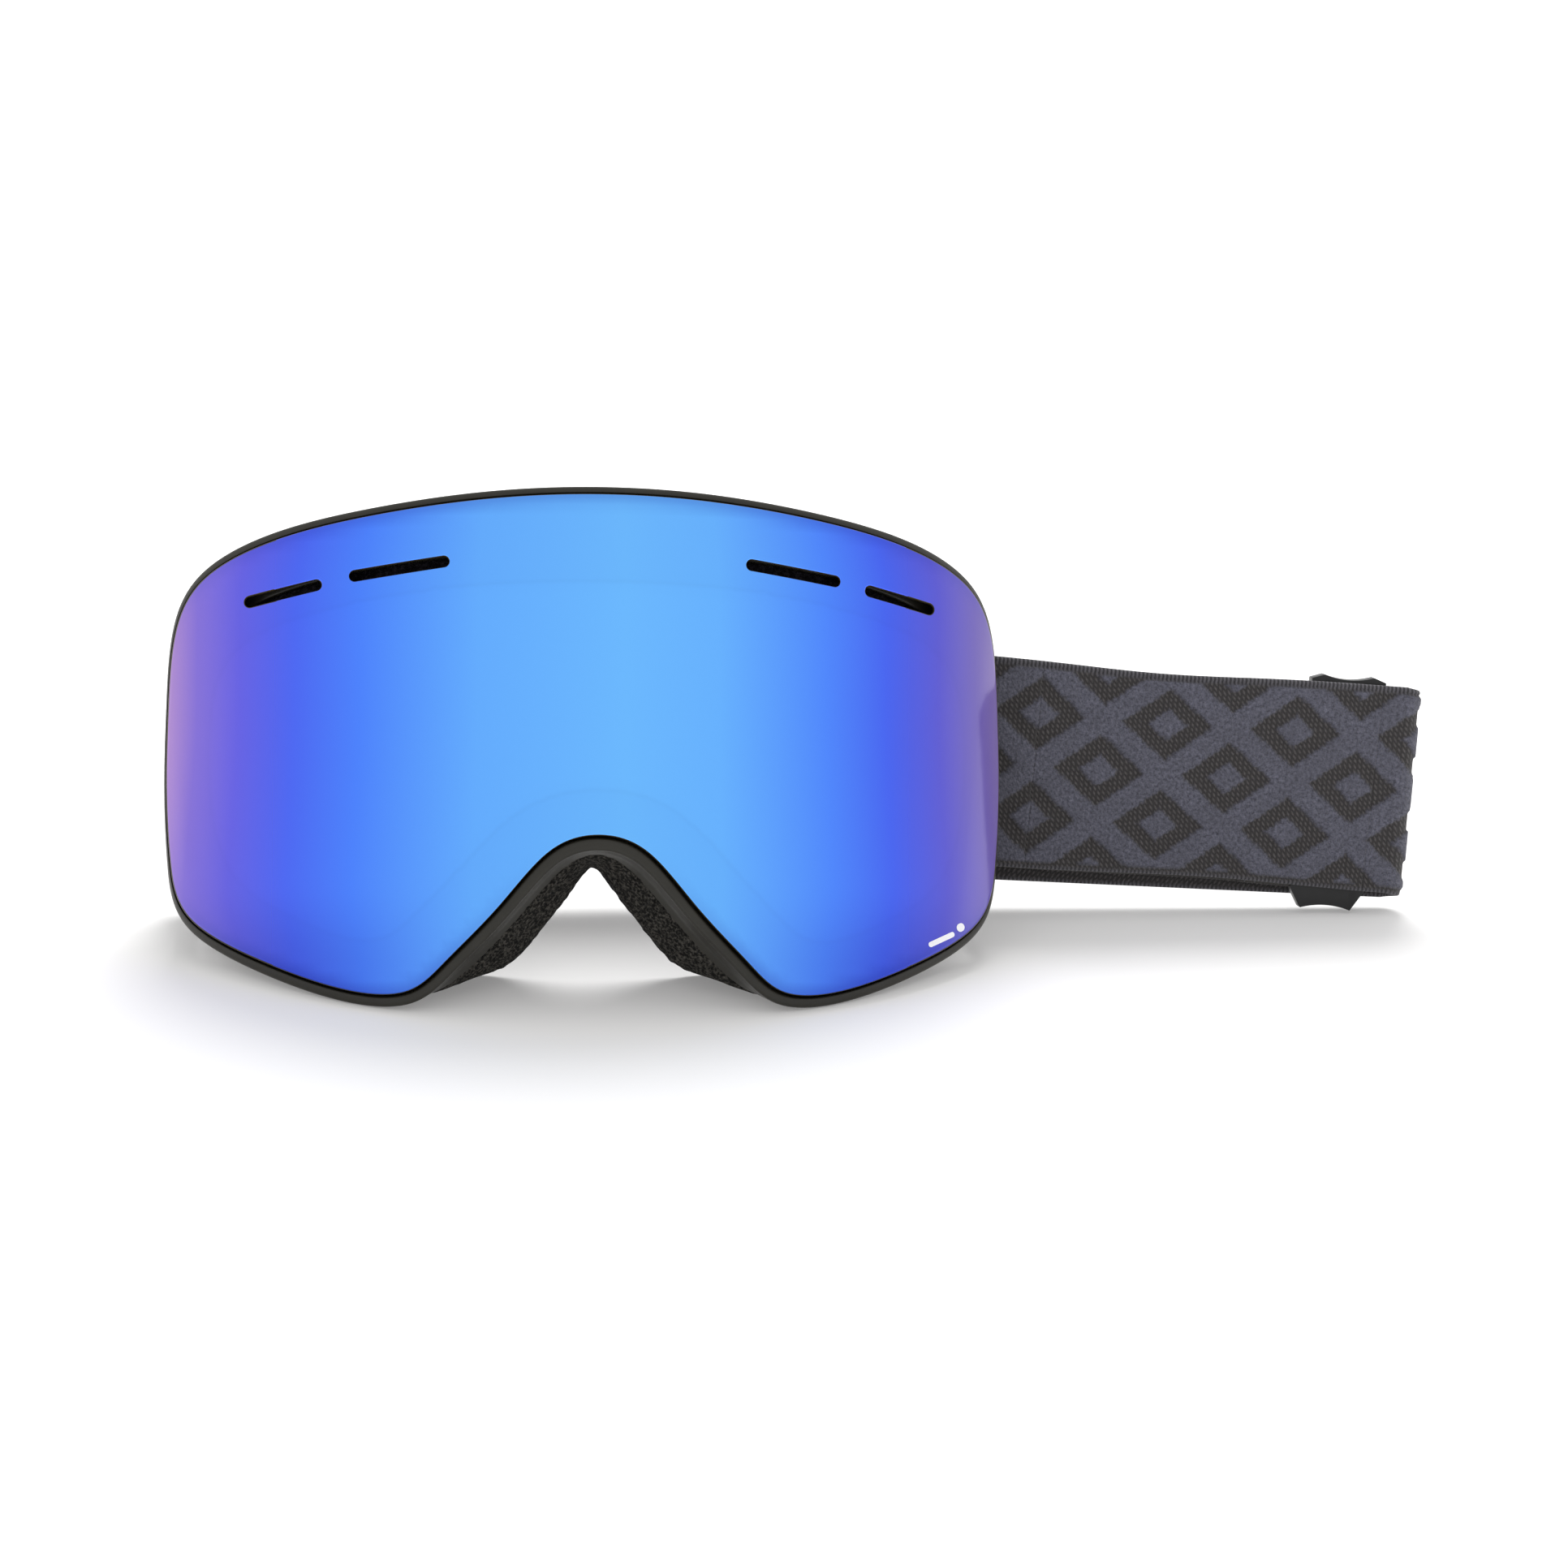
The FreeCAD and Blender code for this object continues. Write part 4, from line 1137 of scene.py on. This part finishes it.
# side is -1 where the inner layer lies behind the outer webbing, and 1 where it lies before it
for name, leaf, side in (("left", left_leaf, -1), ("right", right_leaf, 1)):
    slider_body = f"slider_{name}"
    start = INNER_STARTS[name]
    slider_edge = SLIDER_EDGES[name]
    sewn_end = slider_edge - TAIL_LENGTH
    inner_layer = webbing(f"strap_{name}_inner", start, sewn_end + 0.5, COARSE,
                          return_place(leaf, side, sewn_end), False, INNER_WEBBING)
    dressed(inner_layer, strap_inner, f"strap_{name}", [f"strap_{name}_return"])
    metres(leaf.at(start, 0))
    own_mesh(inner_layer)

    upper = webbing(f"strap_{name}_tail_upper", sewn_end + 0.1, slider_edge - 0.2, COARSE,
                    tail_place(leaf, side, TAIL_SPREAD), False, TAIL_LAYER)
    dressed(upper, strap_inner, slider_body, [f"strap_{name}_tail"])
    lower = webbing(f"strap_{name}_tail_lower", sewn_end + 0.7, slider_edge - 0.2, COARSE,
                    tail_place(leaf, side, -TAIL_SPREAD), False, TAIL_LAYER)
    dressed(lower, strap_inner, slider_body)
    stitches = capsules(f"strap_{name}_stitches", stitch_places(leaf, side, sewn_end), *STITCH_SIZE)
    dressed(stitches, thread_dark, slider_body)

    slider = finished_copy(f"strap_{name}_slider", f"slider_{name}_ladder", 0.5)
    dressed(slider, slider_black, slider_body, [f"strap_{name}_slider"])


# share of the strip's width, and height above the webbing
GRIP_SECTION = [(0.0, 0.05), (0.12, 0.3), (0.35, 0.42), (0.65, 0.42), (0.88, 0.3), (1.0, 0.05)]


def grip_strip(name, low):
    """A domed silicone strip with faint ridges across it, from this height up."""
    first, last = GRIP_ENDS
    stations = np.arange(first, back_leaf.length - last, 0.5)
    base = -LEAF_OFFSET + WEBBING / 2 - 0.05
    vertices = []
    for s in stations:
        ridge = 0.07 * math.cos(2 * math.pi * s / GRIP_PITCH)
        for share, height in GRIP_SECTION:
            rise = height + (ridge if height > 0.2 else 0.0)
            vertices.append(back_leaf.at(s, base + rise, low + share * GRIP_WIDTH) * MM)
    return new_object(name, vertices, swept_faces(len(stations), len(GRIP_SECTION)))


for k, low in enumerate(GRIP_HEIGHTS):
    grip = grip_strip(f"grip_strip_{k + 1}", low)
    dressed(grip, rubber, "strap_back", ["strap_grip_strips"])


# ---------------------------------------------------------------- floor, light and camera

FLOOR_REACH = 7.0            # metres, as everything from here on
FLOOR_STEPS = 71
ticks = np.linspace(-1, 1, FLOOR_STEPS)
ticks = FLOOR_REACH * np.sign(ticks) * np.abs(ticks) ** 2
floor_points = np.array([(x, y, 0.0) for y in ticks for x in ticks])
floor_faces = []
for i in range(FLOOR_STEPS - 1):
    a, b = i * FLOOR_STEPS, (i + 1) * FLOOR_STEPS
    floor_faces += [(a + j, a + j + 1, b + j + 1, b + j) for j in range(FLOOR_STEPS - 1)]
floor = new_object("studio_floor", floor_points, floor_faces)
point_values(floor, "far_glow_share", eased(np.linalg.norm(coordinates(floor), axis=1), 0.3, 1.6))
# The floor glows as painted light that lifts its shadows, and glows more further off, from 0.2 near the
# goggles to 0.55, to whiten the far floor.
paper = Finish("studio_paper", (0.60, 0.597, 0.594), 0.8, Emission_Color=(1.0, 0.99, 0.985, 1.0),
               Emission_Strength=0.2)
paper.colour_from(paper.blended(paper.noise(3.0, 2.0), (0.595, 0.592, 0.589), (0.61, 0.607, 0.604)))
painted_floor_glow = paper.ranged(paper.value("far_glow_share"), 0.0, 1.0, 0.2, 0.55)
paper.links.new(painted_floor_glow, paper.shader.inputs["Emission Strength"])
floor.data.materials.append(paper.material)

world = bpy.data.worlds.new("studio_air")
bpy.context.scene.world = world
world.use_nodes = True
world.node_tree.nodes["Background"].inputs["Color"].default_value = (1, 1, 1, 1)
world.node_tree.nodes["Background"].inputs["Strength"].default_value = 1.0


def soft_light(name, place, aim, size, energy):
    """A round area light that doesn't show in reflections."""
    light = bpy.data.lights.new(name, "AREA")
    light.shape = "DISK"
    light.size = size
    light.energy = energy
    obj = linked(name, light)
    obj.location = place
    obj.rotation_euler = (Vector(aim) - Vector(place)).to_track_quat("-Z", "Y").to_euler()
    obj.visible_glossy = False


soft_light("overhead_softbox", (0.15, 0.8, 1.0), (0.03, 0.05, 0.0), 0.7, 19.0)
soft_light("front_softbox", (-0.7, -1.2, 0.9), (0.03, 0.05, 0.03), 0.9, 2.0)

CAMERA_PLACE = (-0.0592, -0.8965, 0.3067)
CAMERA_AHEAD = (0.1008, 0.9565, -0.2739)
CAMERA_RIGHT = (0.99488, -0.09496, 0.03456)

camera_data = bpy.data.cameras.new("photo_camera")
camera_data.lens = 110
camera_data.sensor_width = 36
camera_data.clip_start = 0.01
camera = linked("photo_camera", camera_data)
ahead = Vector(CAMERA_AHEAD).normalized()
up = Vector(CAMERA_RIGHT).cross(ahead).normalized()
right = ahead.cross(up)
turned = Matrix((right, up, -ahead)).transposed().to_4x4()
camera.matrix_world = Matrix.Translation(CAMERA_PLACE) @ turned
bpy.context.scene.camera = camera
bpy.context.scene.view_settings.view_transform = "Standard"
